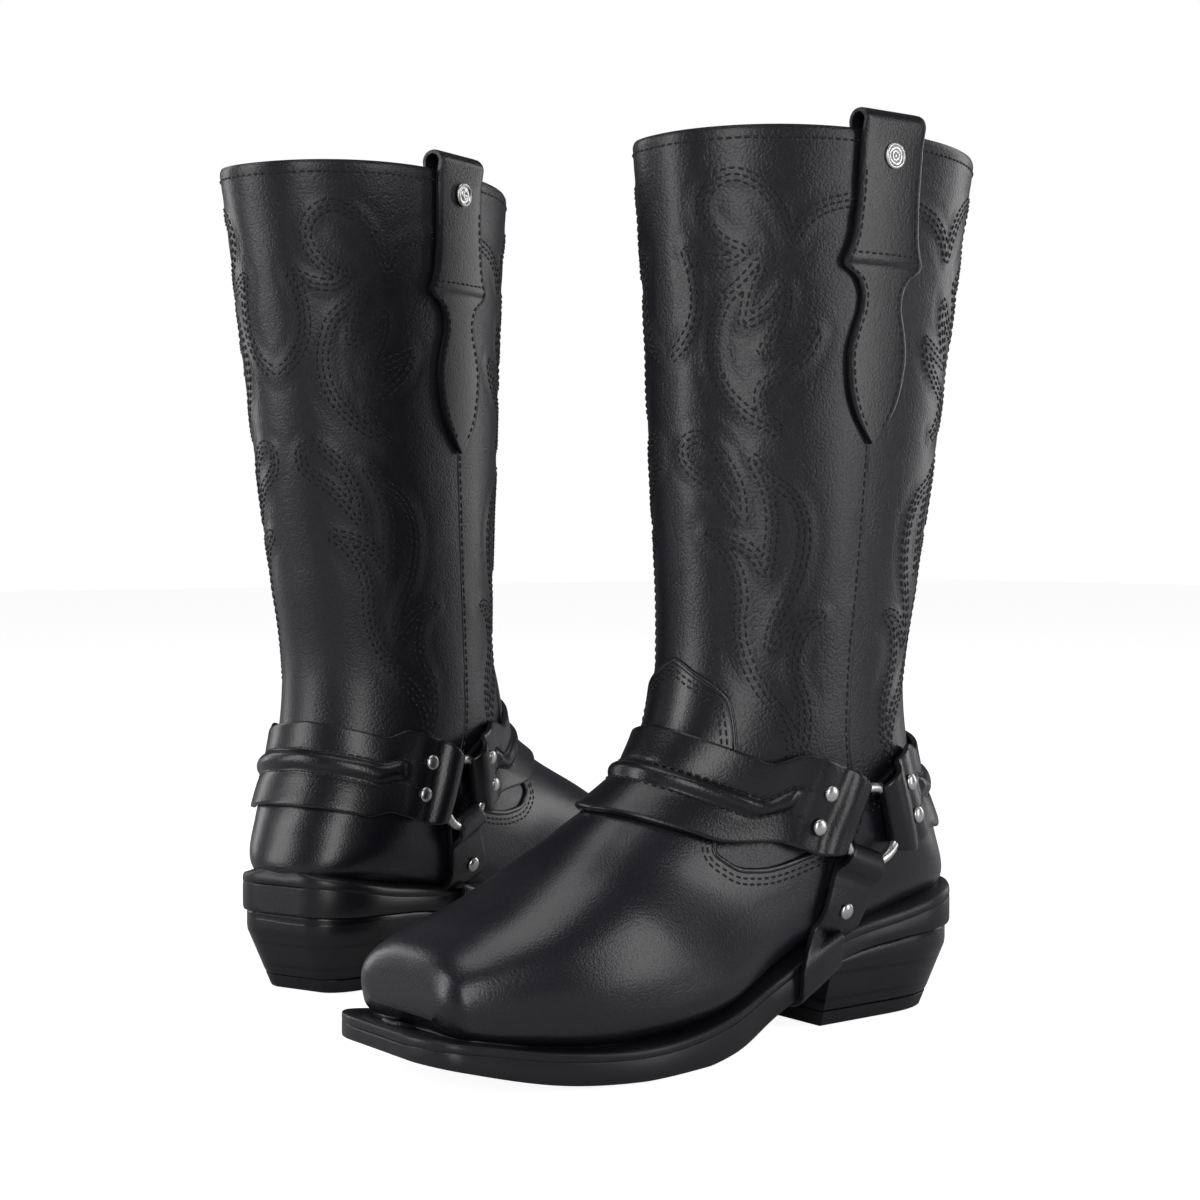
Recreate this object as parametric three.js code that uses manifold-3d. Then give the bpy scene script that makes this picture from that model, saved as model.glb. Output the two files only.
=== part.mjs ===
// A pair of tall pull-on harness boots with block heels and square toes, in millimetres.
// Each boot is drawn in its own frame: x runs from the leg's axis towards the toe, y towards the
// outer side of the foot and z up, with z = 0 on the floor. The left boot then points its toe
// along -Y of the pair, and the right boot is its mirror image, turned about and set beside it.
import * as THREE from "three";
import Module from "manifold-3d";

const wasm = await Module();
wasm.setup();

// ---------------------------------------------------------------- driving sizes
const fitGap = 0.3; // between pieces that touch
const leather = 2.4; // shaft leather with its lining
const overlay = 1.0; // vamp and counter stand this much proud of the shaft

const shaft = {
  height: 328, // rim above the floor
  rimDepth: 150, // front to back at the rim
  rimWidth: 88,
  rimCentre: -2, // the rim's middle, ahead of the leg's axis
  rimDip: 3, // the rim is lower by this in front and behind
  ankleWidth: 76.6,
};

const foot = {
  toeReach: 181.5, // the vamp's toe ahead of the leg's axis
  heelReach: 58, // the counter's back behind it
  ballWidth: 83,
  toeWidth: 54,
  seatHeight: 46, // the heel seat's back corner above the floor
  instepHeight: 95,
};

const sole = {
  margin: 7.5, // how far the sole's toe is ahead of the vamp's
  toeSpring: 12,
  outerWidth: 50, // from the boot's centre line at the ball
  innerWidth: 41.5,
  waistWidth: 31,
  heelWidth: 31, // half the heel seat's width
  heelMargin: 4, // behind the counter
  weltThick: 3,
  weltWidth: 13,
  bed: 1.4, // the sole's top below the last's bottom line
};

const heel = {
  breast: 12.5, // the heel's front face
  footBack: 49, // the lift's back edge behind the leg's axis
  footHalfWidth: 24,
  backFacet: 11, // half the flat at the back
  lift: 5.5, // thickness of the top lift
};

const strap = {
  thick: 2.6,
  foldThick: 9.4, // over the ring
  rivetThick: 4.6, // where the end is doubled back
  sunk: -1.5, // its inner face starts inside the upper's clearance, and is cut back to it
  height: 34,
  foldReach: 7.5, // the fold's distance from the ring's centre
  frontFold: [12, -7.5], // how far each fold goes above and below its strap's middle line
  rearFold: [12, -9],
  underFold: [6.5, -9.5],
  underWidth: 21,
  lean: 20, // degrees that the straps leave the ring at
};

const ring = { radius: 13.8, wire: 1.9, x: 4.5, y: 42.6, z: 76, clearance: 0.5 };
const rivet = { head: 3.1, rise: 1.7, shank: 1.2, hole: 0.3, stand: 0.6, apart: 13, reach: 22.5, underReach: 31 };
const stud = { head: 4.8, rise: 1.5, drop: 9 };

const pull = {
  width: 30,
  thick: 2.0,
  rise: 7.5, // the loop's top above the rim
  stand: 2.95, // half the loop's inner gap
  insideDrop: 34,
  shoulderDrop: 48, // the flared end's stitched line below the rim
  spadeDrop: 113, // the spade's tip below the rim
};

const rightTurn = 201.7; // degrees between the two boots' headings
const rightPlace = [-168, -88]; // the right leg's axis from the left one's

// ---------------------------------------------------------------- the last
// A rib is a slanted ring round the boot. Its front and back points are in the side view.
// It is a superellipse about a point that lies `mid` of the way from back to front.
const forefoot = (share) => share * foot.toeReach;
const rimFront = shaft.rimCentre + shaft.rimDepth / 2;
const rimBack = shaft.rimCentre - shaft.rimDepth / 2;
const ankleTop = 122; // where the shaft starts to slant
const legZ = (share) => ankleTop + share * (shaft.height - ankleTop);
const halfRim = shaft.rimWidth / 2;
const halfAnkle = shaft.ankleWidth / 2;
const halfLeg = (share) => halfAnkle + share * (halfRim - halfAnkle);
const halfBall = foot.ballWidth / 2;
const seat = (drop) => foot.seatHeight - drop;
const ribs = [
  { s: 0.0, front: [rimFront, legZ(1)], back: [rimBack, legZ(1)], half: halfRim, n: [2.2, 2.2] },
  { s: 0.2, front: [68, legZ(0.71)], back: [-66, legZ(0.71)], half: halfLeg(0.66), n: [2.2, 2.2] },
  { s: 0.4, front: [64.5, legZ(0.42)], back: [-55.5, legZ(0.42)], half: halfLeg(0.35), n: [2.2, 2.2] },
  { s: 0.56, front: [62, 165], back: [-46, 162], half: halfLeg(0.15), n: [2.15, 2.15] },
  { s: 0.68, front: [62.5, 135], back: [-40, 122], half: halfAnkle, n: [2.1, 2.1] },
  { s: 0.78, front: [69, 112], back: [-47, 86], half: halfAnkle, n: [2.1, 2.2] },
  { s: 0.83, front: [75, 103], back: [1 - foot.heelReach, 64], half: 37.5, n: [2.1, 2.3], mid: 0.48 },
  {
    s: 0.88,
    front: [82, foot.instepHeight],
    back: [-foot.heelReach, seat(0)],
    half: 35.5,
    n: [2.1, 2.6],
    mid: 0.46,
  },
  { s: 0.93, front: [92, 88], back: [-28, seat(6.5)], half: 34.2, side: 0.5, n: [2.1, 3], mid: 0.42 },
  { s: 1.0, front: [108, 79], back: [22, 31], half: 34.2, side: 1.5, n: [2.2, 3.5], mid: 0.37 },
  {
    s: 1.1,
    front: [forefoot(0.705), 68],
    back: [forefoot(0.386), 15],
    half: halfBall - 1,
    side: 4,
    n: [2.3, 4],
    mid: 0.32,
  },
  {
    s: 1.2,
    front: [forefoot(0.815), 57],
    back: [forefoot(0.634), 10.5],
    half: halfBall,
    side: 4,
    n: [2.4, 4],
    mid: 0.3,
  },
  { s: 1.3, front: [forefoot(0.909), 49], back: [forefoot(0.838), 13.5], half: 37, side: 1.5, n: [2.6, 4], mid: 0.3 },
  { s: 1.38, front: [forefoot(0.975), 41], back: [forefoot(0.953), 17.5], half: 31, n: [3, 4], mid: 0.32 },
  { s: 1.42, front: [foot.toeReach, 33], back: [forefoot(0.997), 21.5], half: foot.toeWidth / 2, n: [3.2, 4], mid: 0.4 },
];
const lastRib = ribs[ribs.length - 1].s;

// Values in equal steps.
const spread = (from, to, count) => {
  const steps = Array.from({ length: count }, (_, i) => i / (count - 1));
  return steps.map((t) => from + t * (to - from));
};

// A smooth curve through values at given keys, straight beyond both ends.
function curve(keys, values) {
  const slopes = keys.map((k, i) => {
    const i0 = Math.max(i - 1, 0);
    const i1 = Math.min(i + 1, keys.length - 1);
    if (i0 === i || i1 === i) return (values[i1] - values[i0]) / (keys[i1] - keys[i0]);
    const before = (values[i] - values[i0]) / (k - keys[i0]);
    const after = (values[i1] - values[i]) / (keys[i1] - k);
    return (before * (keys[i1] - k) + after * (k - keys[i0])) / (keys[i1] - keys[i0]);
  });
  const last = keys.length - 1;
  return (k) => {
    if (k <= keys[0]) return values[0] + slopes[0] * (k - keys[0]);
    if (k >= keys[last]) return values[last] + slopes[last] * (k - keys[last]);
    const i = keys.findIndex((key) => key > k) - 1;
    const h = keys[i + 1] - keys[i];
    const t = (k - keys[i]) / h;
    return (
      (2 * t ** 3 - 3 * t ** 2 + 1) * values[i] +
      (t ** 3 - 2 * t ** 2 + t) * h * slopes[i] +
      (3 * t ** 2 - 2 * t ** 3) * values[i + 1] +
      (t ** 3 - t ** 2) * h * slopes[i + 1]
    );
  };
}
const ribCurve = (pick) => curve(ribs.map((r) => r.s), ribs.map(pick));
const last = {
  frontX: ribCurve((r) => r.front[0]),
  frontZ: ribCurve((r) => r.front[1]),
  backX: ribCurve((r) => r.back[0]),
  backZ: ribCurve((r) => r.back[1]),
  half: ribCurve((r) => r.half),
  side: ribCurve((r) => r.side ?? 0),
  mid: ribCurve((r) => r.mid ?? 0.5),
  upper: ribCurve((r) => r.n[0]),
  lower: ribCurve((r) => r.n[1]),
};
const rad = THREE.MathUtils.degToRad;
const power = (v, n) => Math.sign(v) * Math.abs(v) ** (2 / n);

// A point of the last: s runs from the rim (0) to the toe, and turn is 0 in front, 90 on the
// outer side and 180 behind, in degrees.
function lastPoint(s, turn) {
  const c = Math.cos(rad(turn));
  const n = c >= 0 ? last.upper(s) : last.lower(s);
  const mid = last.mid(s);
  const midX = last.backX(s) + mid * (last.frontX(s) - last.backX(s));
  const midZ = last.backZ(s) + mid * (last.frontZ(s) - last.backZ(s));
  const far = Math.abs(power(c, n));
  const endX = c >= 0 ? last.frontX(s) : last.backX(s);
  const endZ = c >= 0 ? last.frontZ(s) : last.backZ(s);
  const dip = s < 0.2 ? shaft.rimDip * (1 - s / 0.2) * c * c : 0;
  return new THREE.Vector3(
    midX + (endX - midX) * far,
    last.side(s) + last.half(s) * power(Math.sin(rad(turn)), n),
    midZ + (endZ - midZ) * far - dip,
  );
}

// The same point moved out from the last, square to its surface.
function skin(s, turn, out) {
  const p = lastPoint(s, turn);
  const down = lastPoint(s + 0.004, turn).sub(lastPoint(s - 0.004, turn));
  const round = lastPoint(s, turn + 1).sub(lastPoint(s, turn - 1));
  const normal = round.cross(down).normalize().negate();
  return p.addScaledVector(normal, -out * Math.sign(normal.dot(inward(s, p))));
}
function inward(s, p) {
  const mid = last.mid(s);
  return new THREE.Vector3(
    last.backX(s) + mid * (last.frontX(s) - last.backX(s)),
    last.side(s),
    last.backZ(s) + mid * (last.frontZ(s) - last.backZ(s)),
  ).sub(p);
}

// The s and turn of the outer side's point that lies at (x, z) in the side view.
function place(x, z) {
  let s = THREE.MathUtils.clamp((shaft.height - z) / 290, 0.02, 0.9);
  let turn = 88;
  for (let step = 0; step < 40; step += 1) {
    const p = lastPoint(s, turn);
    const ds = lastPoint(s + 0.002, turn).sub(p).divideScalar(0.002);
    const dt = lastPoint(s, turn + 0.5).sub(p).divideScalar(0.5);
    const det = ds.x * dt.z - ds.z * dt.x;
    const ex = x - p.x;
    const ez = z - p.z;
    s += THREE.MathUtils.clamp((ex * dt.z - ez * dt.x) / det, -0.04, 0.04);
    turn += THREE.MathUtils.clamp((ds.x * ez - ds.z * ex) / det, -6, 6);
    turn = THREE.MathUtils.clamp(turn, 1, 179);
  }
  return { s, turn };
}
const sideSkin = (x, z, out) => {
  const at = place(x, z);
  return skin(at.s, at.turn, out);
};

// ---------------------------------------------------------------- solids
function geometry(points, faces) {
  const made = new THREE.BufferGeometry();
  made.setAttribute("position", new THREE.Float32BufferAttribute(points.flat(), 3));
  made.setIndex(faces.flat());
  return made;
}

// A closed solid between two grids of points, a and b: each is a list of sections.
// round: each section closes on itself.
function between(a, b, round = false) {
  const m = a.length;
  const n = a[0].length;
  const points = [...a.flat(), ...b.flat()].map((p) => [p.x, p.y, p.z]);
  const A = (i, j) => i * n + (j % n);
  const B = (i, j) => m * n + A(i, j);
  const faces = [];
  const quad = (p, q, r, s) => faces.push([p, q, r], [p, r, s]);
  const across = round ? n : n - 1;
  for (let i = 0; i < m - 1; i += 1) {
    for (let j = 0; j < across; j += 1) {
      quad(A(i, j), A(i + 1, j), A(i + 1, j + 1), A(i, j + 1));
      quad(B(i, j), B(i, j + 1), B(i + 1, j + 1), B(i + 1, j));
    }
    if (!round) {
      quad(A(i, 0), B(i, 0), B(i + 1, 0), A(i + 1, 0));
      quad(A(i, n - 1), A(i + 1, n - 1), B(i + 1, n - 1), B(i, n - 1));
    }
  }
  for (let j = 0; j < across; j += 1) {
    quad(A(0, j), A(0, j + 1), B(0, j + 1), B(0, j));
    quad(A(m - 1, j), B(m - 1, j), B(m - 1, j + 1), A(m - 1, j + 1));
  }
  return facedOut(geometry(points, faces));
}

function facedOut(made) {
  const at = (i) => new THREE.Vector3().fromBufferAttribute(made.attributes.position, i);
  const index = made.index.array;
  let volume = 0;
  for (let i = 0; i < index.length; i += 3) {
    volume += at(index[i]).dot(at(index[i + 1]).cross(at(index[i + 2])));
  }
  if (volume < 0) {
    for (let i = 0; i < index.length; i += 3) [index[i], index[i + 1]] = [index[i + 1], index[i]];
  }
  return made;
}

function toSolid(made) {
  return new wasm.Manifold(
    new wasm.Mesh({
      numProp: 3,
      vertProperties: new Float32Array(made.attributes.position.array),
      triVerts: new Uint32Array(made.index.array),
    }),
  );
}

function fromSolid(solid) {
  const mesh = solid.getMesh();
  const made = new THREE.BufferGeometry();
  made.setAttribute("position", new THREE.BufferAttribute(mesh.vertProperties, 3));
  made.setIndex(new THREE.BufferAttribute(mesh.triVerts, 1));
  return made;
}

// A lathe or torus geometry with its shared points joined, so that it can be cut with.
function joined(made) {
  const keys = new Map();
  const points = [];
  const renamed = [];
  const position = made.attributes.position;
  for (let i = 0; i < position.count; i += 1) {
    const p = [position.getX(i), position.getY(i), position.getZ(i)];
    const key = p.map((v) => Math.round(v * 1e4)).join();
    if (!keys.has(key)) {
      keys.set(key, points.length);
      points.push(p);
    }
    renamed.push(keys.get(key));
  }
  const faces = [];
  for (let i = 0; i < made.index.count; i += 3) {
    const face = [0, 1, 2].map((k) => renamed[made.index.getX(i + k)]);
    if (new Set(face).size === 3) faces.push(face);
  }
  return facedOut(geometry(points, faces));
}

// ---------------------------------------------------------------- the upper
// Where the shaft ends and the vamp or counter begins, as [turn, s]: a tongue in front, a
// scallop on each side of it, and a line round the ankle under the rear strap.
const joint = curve(
  [0, 15, 30, 38, 44, 50, 57, 66, 74, 80, 84, 88, 95, 105, 132, 180],
  [0.676, 0.687, 0.715, 0.75, 0.8, 0.915, 0.955, 0.968, 0.965, 0.94, 0.89, 0.835, 0.815, 0.8, 0.772, 0.758],
);
// The counter's lower end under the foot, as [turn, s].
const counterEnd = curve([88, 95, 105, 125, 180], [0.87, 0.93, 0.958, 0.982, 1]);
const counterTurn = 88; // where the vamp ends and the counter begins, at its upper end
const jointGap = 0.0035; // in s, half the gap between the pieces
const seamTurn = 0.3; // half the side seam's gap, in degrees
const cutTurns = [
  ...spread(0, 36, 3),
  ...spread(40, 58, 7),
  64,
  72,
  ...spread(78, 86, 5),
  counterTurn - seamTurn,
  counterTurn + seamTurn,
  ...spread(100, 180, 4),
];
const allTurns = [...cutTurns, ...cutTurns.slice(1, -1).reverse().map((t) => 360 - t)];
const aroundTurn = (turn) => Math.abs(turn > 180 ? turn - 360 : turn);

const upperColumns = 24;
const upperRows = [0, 0.2, 0.4, 0.56, 0.68, 0.76, 0.82, 0.87, 0.92, 0.98, 1.06, 1.16, 1.26, 1.34, 1.39, lastRib];
// The last grown by `out`, as one solid on a grid that is the same for every size of it, so
// that two sizes lie a constant distance apart. rise lifts its top, short ends it early.
function grown(out, { rise = 0, short = 0 } = {}) {
  const turns = spread(0, 360, upperColumns + 1).slice(0, -1);
  const rows = [...upperRows.slice(0, -1), lastRib - short];
  rows[0] -= rise;
  const grid = rows.map((s) => turns.map((turn) => skin(s, turn, out)));
  return closedTube(grid);
}
function closedTube(grid) {
  const n = grid[0].length;
  const points = grid.flat().map((p) => [p.x, p.y, p.z]);
  const faces = [];
  const at = (i, j) => i * n + (j % n);
  for (let i = 0; i < grid.length - 1; i += 1) {
    for (let j = 0; j < n; j += 1) {
      faces.push([at(i, j), at(i + 1, j), at(i + 1, j + 1)], [at(i, j), at(i + 1, j + 1), at(i, j + 1)]);
    }
  }
  for (const i of [0, grid.length - 1]) {
    const middle = grid[i].reduce((sum, p) => sum.add(p), new THREE.Vector3()).divideScalar(n);
    points.push([middle.x, middle.y, middle.z]);
    for (let j = 0; j < n; j += 1) {
      const face = [at(i, j), at(i, j + 1), points.length - 1];
      faces.push(i === 0 ? face : face.reverse());
    }
  }
  return toSolid(facedOut(geometry(points, faces)));
}
const shaftSkin = grown(0);
const footSkin = grown(overlay);
const clearSkin = grown(overlay + fitGap, { rise: 0.02 });
const hollow = grown(-leather, { rise: 0.02, short: 0.014 });
const hollowClear = grown(-leather - fitGap, { short: 0.018 });

// A thick block over part of the last, that cuts a piece out of a skin.
const cutter = { out: 5, in: -leather - 5 };
function region(turns, top, bottom, shares, round = false) {
  const grid = (out) =>
    shares.map((share) =>
      turns.map((turn) => {
        const t = aroundTurn(turn);
        return skin(top(t) + share * (bottom(t) - top(t)), turn, out);
      }),
    );
  return toSolid(between(grid(cutter.out), grid(cutter.in), round));
}
const shaftCutRows = [0, 0.32, 0.56, 0.68, 0.77, 0.85, 0.93, 1]; // closer together at the ankle's bend
const footCutRows = spread(0, 1, 7);
const largest = (solid) => solid.decompose().sort((a, b) => b.volume() - a.volume())[0];
// The shaft stops short by the gap, and where the line is steep by a little of the turn too.
const jointSlack = 0.4;
const shaftEnd = (t) =>
  Math.min(joint(Math.abs(t - jointSlack)), joint(t), joint(Math.min(180, t + jointSlack))) - jointGap;
// Cuts of a skin run from above its top edge to below its last rib.
const above = () => -0.03;
const pastAnkle = () => 1.05;
const within = (from, to, turns = allTurns) => [
  from,
  ...turns.filter((t) => t > from + 0.5 && t < to - 0.5),
  to,
];
const frontTurns = () => {
  const right = within(0, 90 - seamTurn, cutTurns);
  return [...right.slice(1).reverse().map((t) => -t), ...right];
};
// Everything above a line round the ankle, and the front and the back half of that.
const legs = (end) => region(allTurns, above, end, shaftCutRows, true);
const bothPanels = shaftSkin.subtract(hollow).intersect(legs(shaftEnd));
const panel = (turns) => fromSolid(largest(bothPanels.intersect(region(turns, above, pastAnkle, shaftCutRows))));
const makeShaftFront = () => panel(frontTurns());
const makeShaftBack = () => panel(within(90 + seamTurn, 270 - seamTurn));
const makeCounter = () => {
  const turns = within(counterTurn + seamTurn, 360 - counterTurn - seamTurn);
  const top = (t) => joint(t) + jointGap;
  const bottom = (t) => counterEnd(t) - jointGap;
  return fromSolid(largest(footSkin.subtract(hollow).intersect(region(turns, top, bottom, footCutRows))));
};
// The vamp is what is left of the foot's skin below the shaft and in front of the counter.
const makeVamp = () => {
  const counter = region(
    within(counterTurn - seamTurn, 360 - counterTurn + seamTurn),
    (t) => joint(t) - 0.1,
    (t) => counterEnd(t) + jointGap,
    footCutRows,
  );
  const foot = footSkin.subtract(hollow).subtract(legs((t) => joint(t) + jointGap));
  return fromSolid(largest(foot.subtract(counter)));
};

// ---------------------------------------------------------------- the bottom
const soleToe = foot.toeReach + sole.margin;
const soleBack = -foot.heelReach - sole.heelMargin;
// Places on the bottom are given for a foot whose heel's breast and toe are here.
const drawn = { breast: 12.5, toeReach: 181.5 };
// On the last, they move with the toe. On the sole, they also move with the heel's breast.
const alongFoot = (x) =>
  drawn.breast + ((x - drawn.breast) * (foot.toeReach - drawn.breast)) / (drawn.toeReach - drawn.breast);
const stretched = (x) =>
  heel.breast + ((x - drawn.breast) * (foot.toeReach - heel.breast)) / (drawn.toeReach - drawn.breast);
// The last's bottom line, and the sole's top and bottom lines, as heights at x.
const bottomLine = curve(
  [-foot.heelReach, -28, ...[22, 50].map(alongFoot), ...[0.386, 0.634, 0.838, 0.953].map(forefoot), soleToe],
  [seat(0.5), seat(6.5), 31, 20.5, 15, 10.5, 13.5, 17.2, 19.5],
);
const soleTop = (x) => bottomLine(x) - sole.bed - overlay;
const soleUnderLine = curve(
  [soleBack, -28, heel.breast, ...[38, 65, 84, 114].map(stretched), forefoot(0.8), soleToe],
  [seat(14), seat(16), 24, 13.2, 3, 0, 0, 2.2, sole.toeSpring],
);
const soleUnder = (x) => Math.max(0, soleUnderLine(x));
const edgeKeys = [-34, 0, ...[25, 50, 70, 90, 112, 135, 160].map(stretched), soleToe - 9];
const ballReach = [0.1, 0.2, 0.35, 0.66, 0.88, 1, 0.88]; // of the way from waist to ball
const outerAt = (k) => sole.waistWidth + k * (sole.outerWidth - sole.waistWidth);
const innerAt = (k) => -sole.waistWidth + 4 - k * (sole.innerWidth - sole.waistWidth + 4);
const outerEdge = curve(edgeKeys, [
  sole.heelWidth,
  sole.heelWidth,
  ...ballReach.slice(1, 6).map(outerAt),
  outerAt(0.86),
  outerAt(0.52),
  outerAt(0.16),
]);
const innerEdge = curve(edgeKeys, [
  1 - sole.heelWidth,
  2 - sole.heelWidth,
  ...ballReach.slice(0, 2).map(innerAt),
  ...ballReach.slice(3, 6).map(innerAt),
  innerAt(1),
  innerAt(0.85),
  innerAt(0.56),
]);

// Stations along the sole: close together where its ends round off.
function soleStations(from, to) {
  const back = [0, 0.8, 3, 7, 13, 20].map((d) => soleBack + d);
  const middle = [-25, 0, heel.breast, ...[25, 38, 50, 62, 75, 90, 105, 120, 135, 150, 165].map(stretched)];
  const toe = [14, 9, 5, 2, 0.4, 0].map((d) => soleToe - d);
  return [...back, ...middle.filter((x) => x > soleBack + 22 && x < soleToe - 16), ...toe].filter(
    (x) => x >= from - 1e-6 && x <= to + 1e-6,
  );
}
// How much of its width the sole keeps near its two ends.
function endShare(x, inset) {
  const back = soleBack + inset;
  const toe = soleToe - inset;
  const roundBack = 27;
  const roundToe = 9;
  if (x < back + roundBack) {
    const d = Math.max(0, (back + roundBack - x) / roundBack);
    return 0.33 + 0.67 * Math.sqrt(Math.max(0, 1 - Math.min(d, 1) ** 2.2));
  }
  if (x > toe - roundToe) {
    const d = Math.min(1, Math.max(0, (x - toe + roundToe) / roundToe));
    return 0.6 + 0.4 * Math.sqrt(1 - d ** 2.4);
  }
  return 1;
}

// A plate along the foot between two height lines, inset from the sole's edge.
function plate(stations, top, under, inset, shares = [0, 0.5, 1]) {
  const section = (height) =>
    stations.map((x) => {
      const keep = endShare(x, inset);
      const outer = (outerEdge(x) - inset) * keep;
      const inner = (innerEdge(x) + inset) * keep;
      return shares.map((k) => new THREE.Vector3(x, inner + k * (outer - inner), height(x)));
    });
  return between(section(top), section(under));
}

const shank = { from: -36, to: 58, half: 6, thick: 1.4 };
function bar(from, to, half, top, under) {
  const xs = spread(from, to, 9);
  const side = (height) =>
    xs.map((x) => [-half, half].map((y) => new THREE.Vector3(x, y, height(x))));
  return between(side(top), side(under));
}
const makeShank = () =>
  bar(
    shank.from,
    shank.to,
    shank.half,
    (x) => soleTop(x) - fitGap,
    (x) => soleTop(x) - fitGap - shank.thick,
  );

function makeOutsole() {
  const body = toSolid(plate(soleStations(soleBack, soleToe), soleTop, soleUnder, 0));
  const groove = bar(
    shank.from - fitGap,
    shank.to + fitGap,
    shank.half + fitGap,
    (x) => soleTop(x) + 2,
    (x) => soleTop(x) - 2 * fitGap - shank.thick,
  );
  return fromSolid(body.subtract(toSolid(groove)));
}

function makeWelt() {
  const stations = soleStations(soleBack, soleToe);
  const top = (x) => soleTop(x) + fitGap + sole.weltThick;
  const strip = toSolid(plate(stations, top, (x) => soleTop(x) + fitGap, 0.4));
  const window = toSolid(plate(stations, (x) => top(x) + 20, (x) => soleTop(x) - 2, sole.weltWidth));
  return fromSolid(largest(strip.subtract(clearSkin).subtract(window)));
}

// A layer inside the upper: its underside is `from` above the last's bottom line.
function insideLayer(from, thick) {
  const stations = spread(4 - foot.heelReach, foot.toeReach - 5, 20);
  const layer = plate(
    stations,
    (x) => bottomLine(x) + from + thick,
    (x) => bottomLine(x) + from,
    -3,
  );
  return fromSolid(toSolid(layer).intersect(hollowClear));
}
const insole = { rise: leather + 1.2, thick: 2, sockThick: 2.2 };
const makeInsoleBoard = () => insideLayer(insole.rise, insole.thick);
const makeSockLiner = () => insideLayer(insole.rise + insole.thick + 2 * fitGap, insole.sockThick);

// The heel narrows and slants forward as it goes down. Its back is a flat facet.
function heelLayer(low, high) {
  const shares = [0, 0.02, 0.09, 0.2, 0.38, 0.6, 0.8, 1];
  const topBack = soleBack + 1.5;
  const breastTop = soleUnder(heel.breast);
  const station = (share, level) => {
    const height = typeof level === "number" ? () => level : level;
    const xTop = topBack + share * (heel.breast - topBack);
    const xFoot = -heel.footBack + share * (heel.breast - -heel.footBack);
    const z = height(xTop);
    const up = THREE.MathUtils.clamp(z / breastTop, 0, 1);
    const x = xFoot + up * (xTop - xFoot);
    const wide = sole.heelWidth - 0.8;
    const half = heel.footHalfWidth + up * (wide - heel.footHalfWidth);
    const keep = heel.backFacet / half;
    const arc = Math.sqrt(Math.max(0, 1 - (1 - Math.min(1, share / 0.45)) ** 2.3));
    const w = half * (keep + (1 - keep) * arc);
    return [-1, 0, 1].map((k) => new THREE.Vector3(x, k * w, z));
  };
  return between(
    shares.map((share) => station(share, high)),
    shares.map((share) => station(share, low)),
  );
}
const makeHeelLift = () => heelLayer(0, heel.lift);
const makeHeelBlock = () => heelLayer(heel.lift + fitGap, (x) => soleUnder(x) - fitGap);

// ---------------------------------------------------------------- the harness
const lean = rad(strap.lean);
const clearOf = overlay + fitGap; // the straps' inner face, out from the last
// A point of the side view at `along` and `across` from the ring's centre, turned by `angle`.
const fromRing = (angle, along, across) => ({
  x: ring.x + along * Math.cos(angle) - across * Math.sin(angle),
  z: ring.z + along * Math.sin(angle) + across * Math.cos(angle),
});
const ringTunnels = [ring.y, -ring.y].map((y) => toSolid(ringAt(ring.wire + ring.clearance, 20, 8, y)));
function ringAt(wire, around, section, y = ring.y) {
  const made = new THREE.TorusGeometry(ring.radius, wire, section, around);
  made.rotateX(Math.PI / 2);
  made.translate(ring.x, y, ring.z);
  return joined(made);
}
function lower(points, side) {
  return points.map((p) => new THREE.Vector3(p.x, side * p.y, p.z));
}

// The end of a strap at the outer ring: sections from the fold outwards, each from edge to edge.
// reach is how far the fold goes to each side of the strap's middle line, and edges is the same
// for the strap's full width. Thickness is measured out from the clearance over the upper.
function ringEnd(angle, reach, edges, rivetReach = rivet.reach) {
  const overRing = ring.radius + ring.wire + 1.2;
  const rows = [
    { along: strap.foldReach, edge: reach.map((e) => e * 0.95), low: 2.6, high: strap.foldThick - 2 },
    { along: strap.foldReach + 1.4, edge: reach, low: strap.sunk, high: strap.foldThick },
    { along: overRing, edge: edges.map((e) => e * 0.94), low: strap.sunk, high: strap.foldThick },
    { along: rivetReach - seatRows.before, edge: edges, low: strap.sunk, high: strap.rivetThick },
    { along: rivetReach + seatRows.after, edge: edges, low: strap.sunk, high: strap.rivetThick },
  ];
  const section = (row, out) =>
    spread(row.edge[0], row.edge[1], 3).map((across) => {
      const p = fromRing(angle, row.along, across);
      return sideSkin(p.x, p.z, clearOf + out);
    });
  return rows.map((row) => ({ outer: section(row, row.high), inner: section(row, row.low) }));
}

// The band round the front or the back: from turn to turn, between two lines of s.
function bandMiddle(turns, high, low) {
  const section = (turn, out) =>
    spread(0, 1, 3).map((k) => {
      const t = aroundTurn(turn);
      return skin(high(t) + k * (low(t) - high(t)), turn, clearOf + out);
    });
  return turns.map((turn) => ({ outer: section(turn, strap.thick), inner: section(turn, strap.sunk) }));
}

function mirrored(sections) {
  const flip = (line) => lower(line, -1);
  return sections.map((s) => ({ outer: flip(s.outer), inner: flip(s.inner) })).reverse();
}

function strapSolid(sections) {
  return toSolid(
    between(
      sections.map((s) => s.outer),
      sections.map((s) => s.inner),
    ),
  );
}

const frontBand = {
  high: curve([0, 34, 55, 70], [0.78, 0.793, 0.803, 0.807]),
  low: curve([0, 33, 50, 64, 76], [0.968, 0.958, 0.952, 0.946, 0.941]),
};
const rearBand = {
  high: curve([105, 128, 162, 180], [0.786, 0.757, 0.73, 0.724]),
  low: curve([101, 115, 130, 159, 180], [0.893, 0.856, 0.833, 0.812, 0.808]),
};
// The flat patch of the strap that a rivet stands on, before and after it along the strap.
const seatRows = { before: rivet.head + 0.6, after: rivet.head + 2 };
const endEdges = [strap.height / 2, -strap.height / 2];
const underEdges = [strap.underWidth / 2 - 2, -strap.underWidth / 2];

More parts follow.
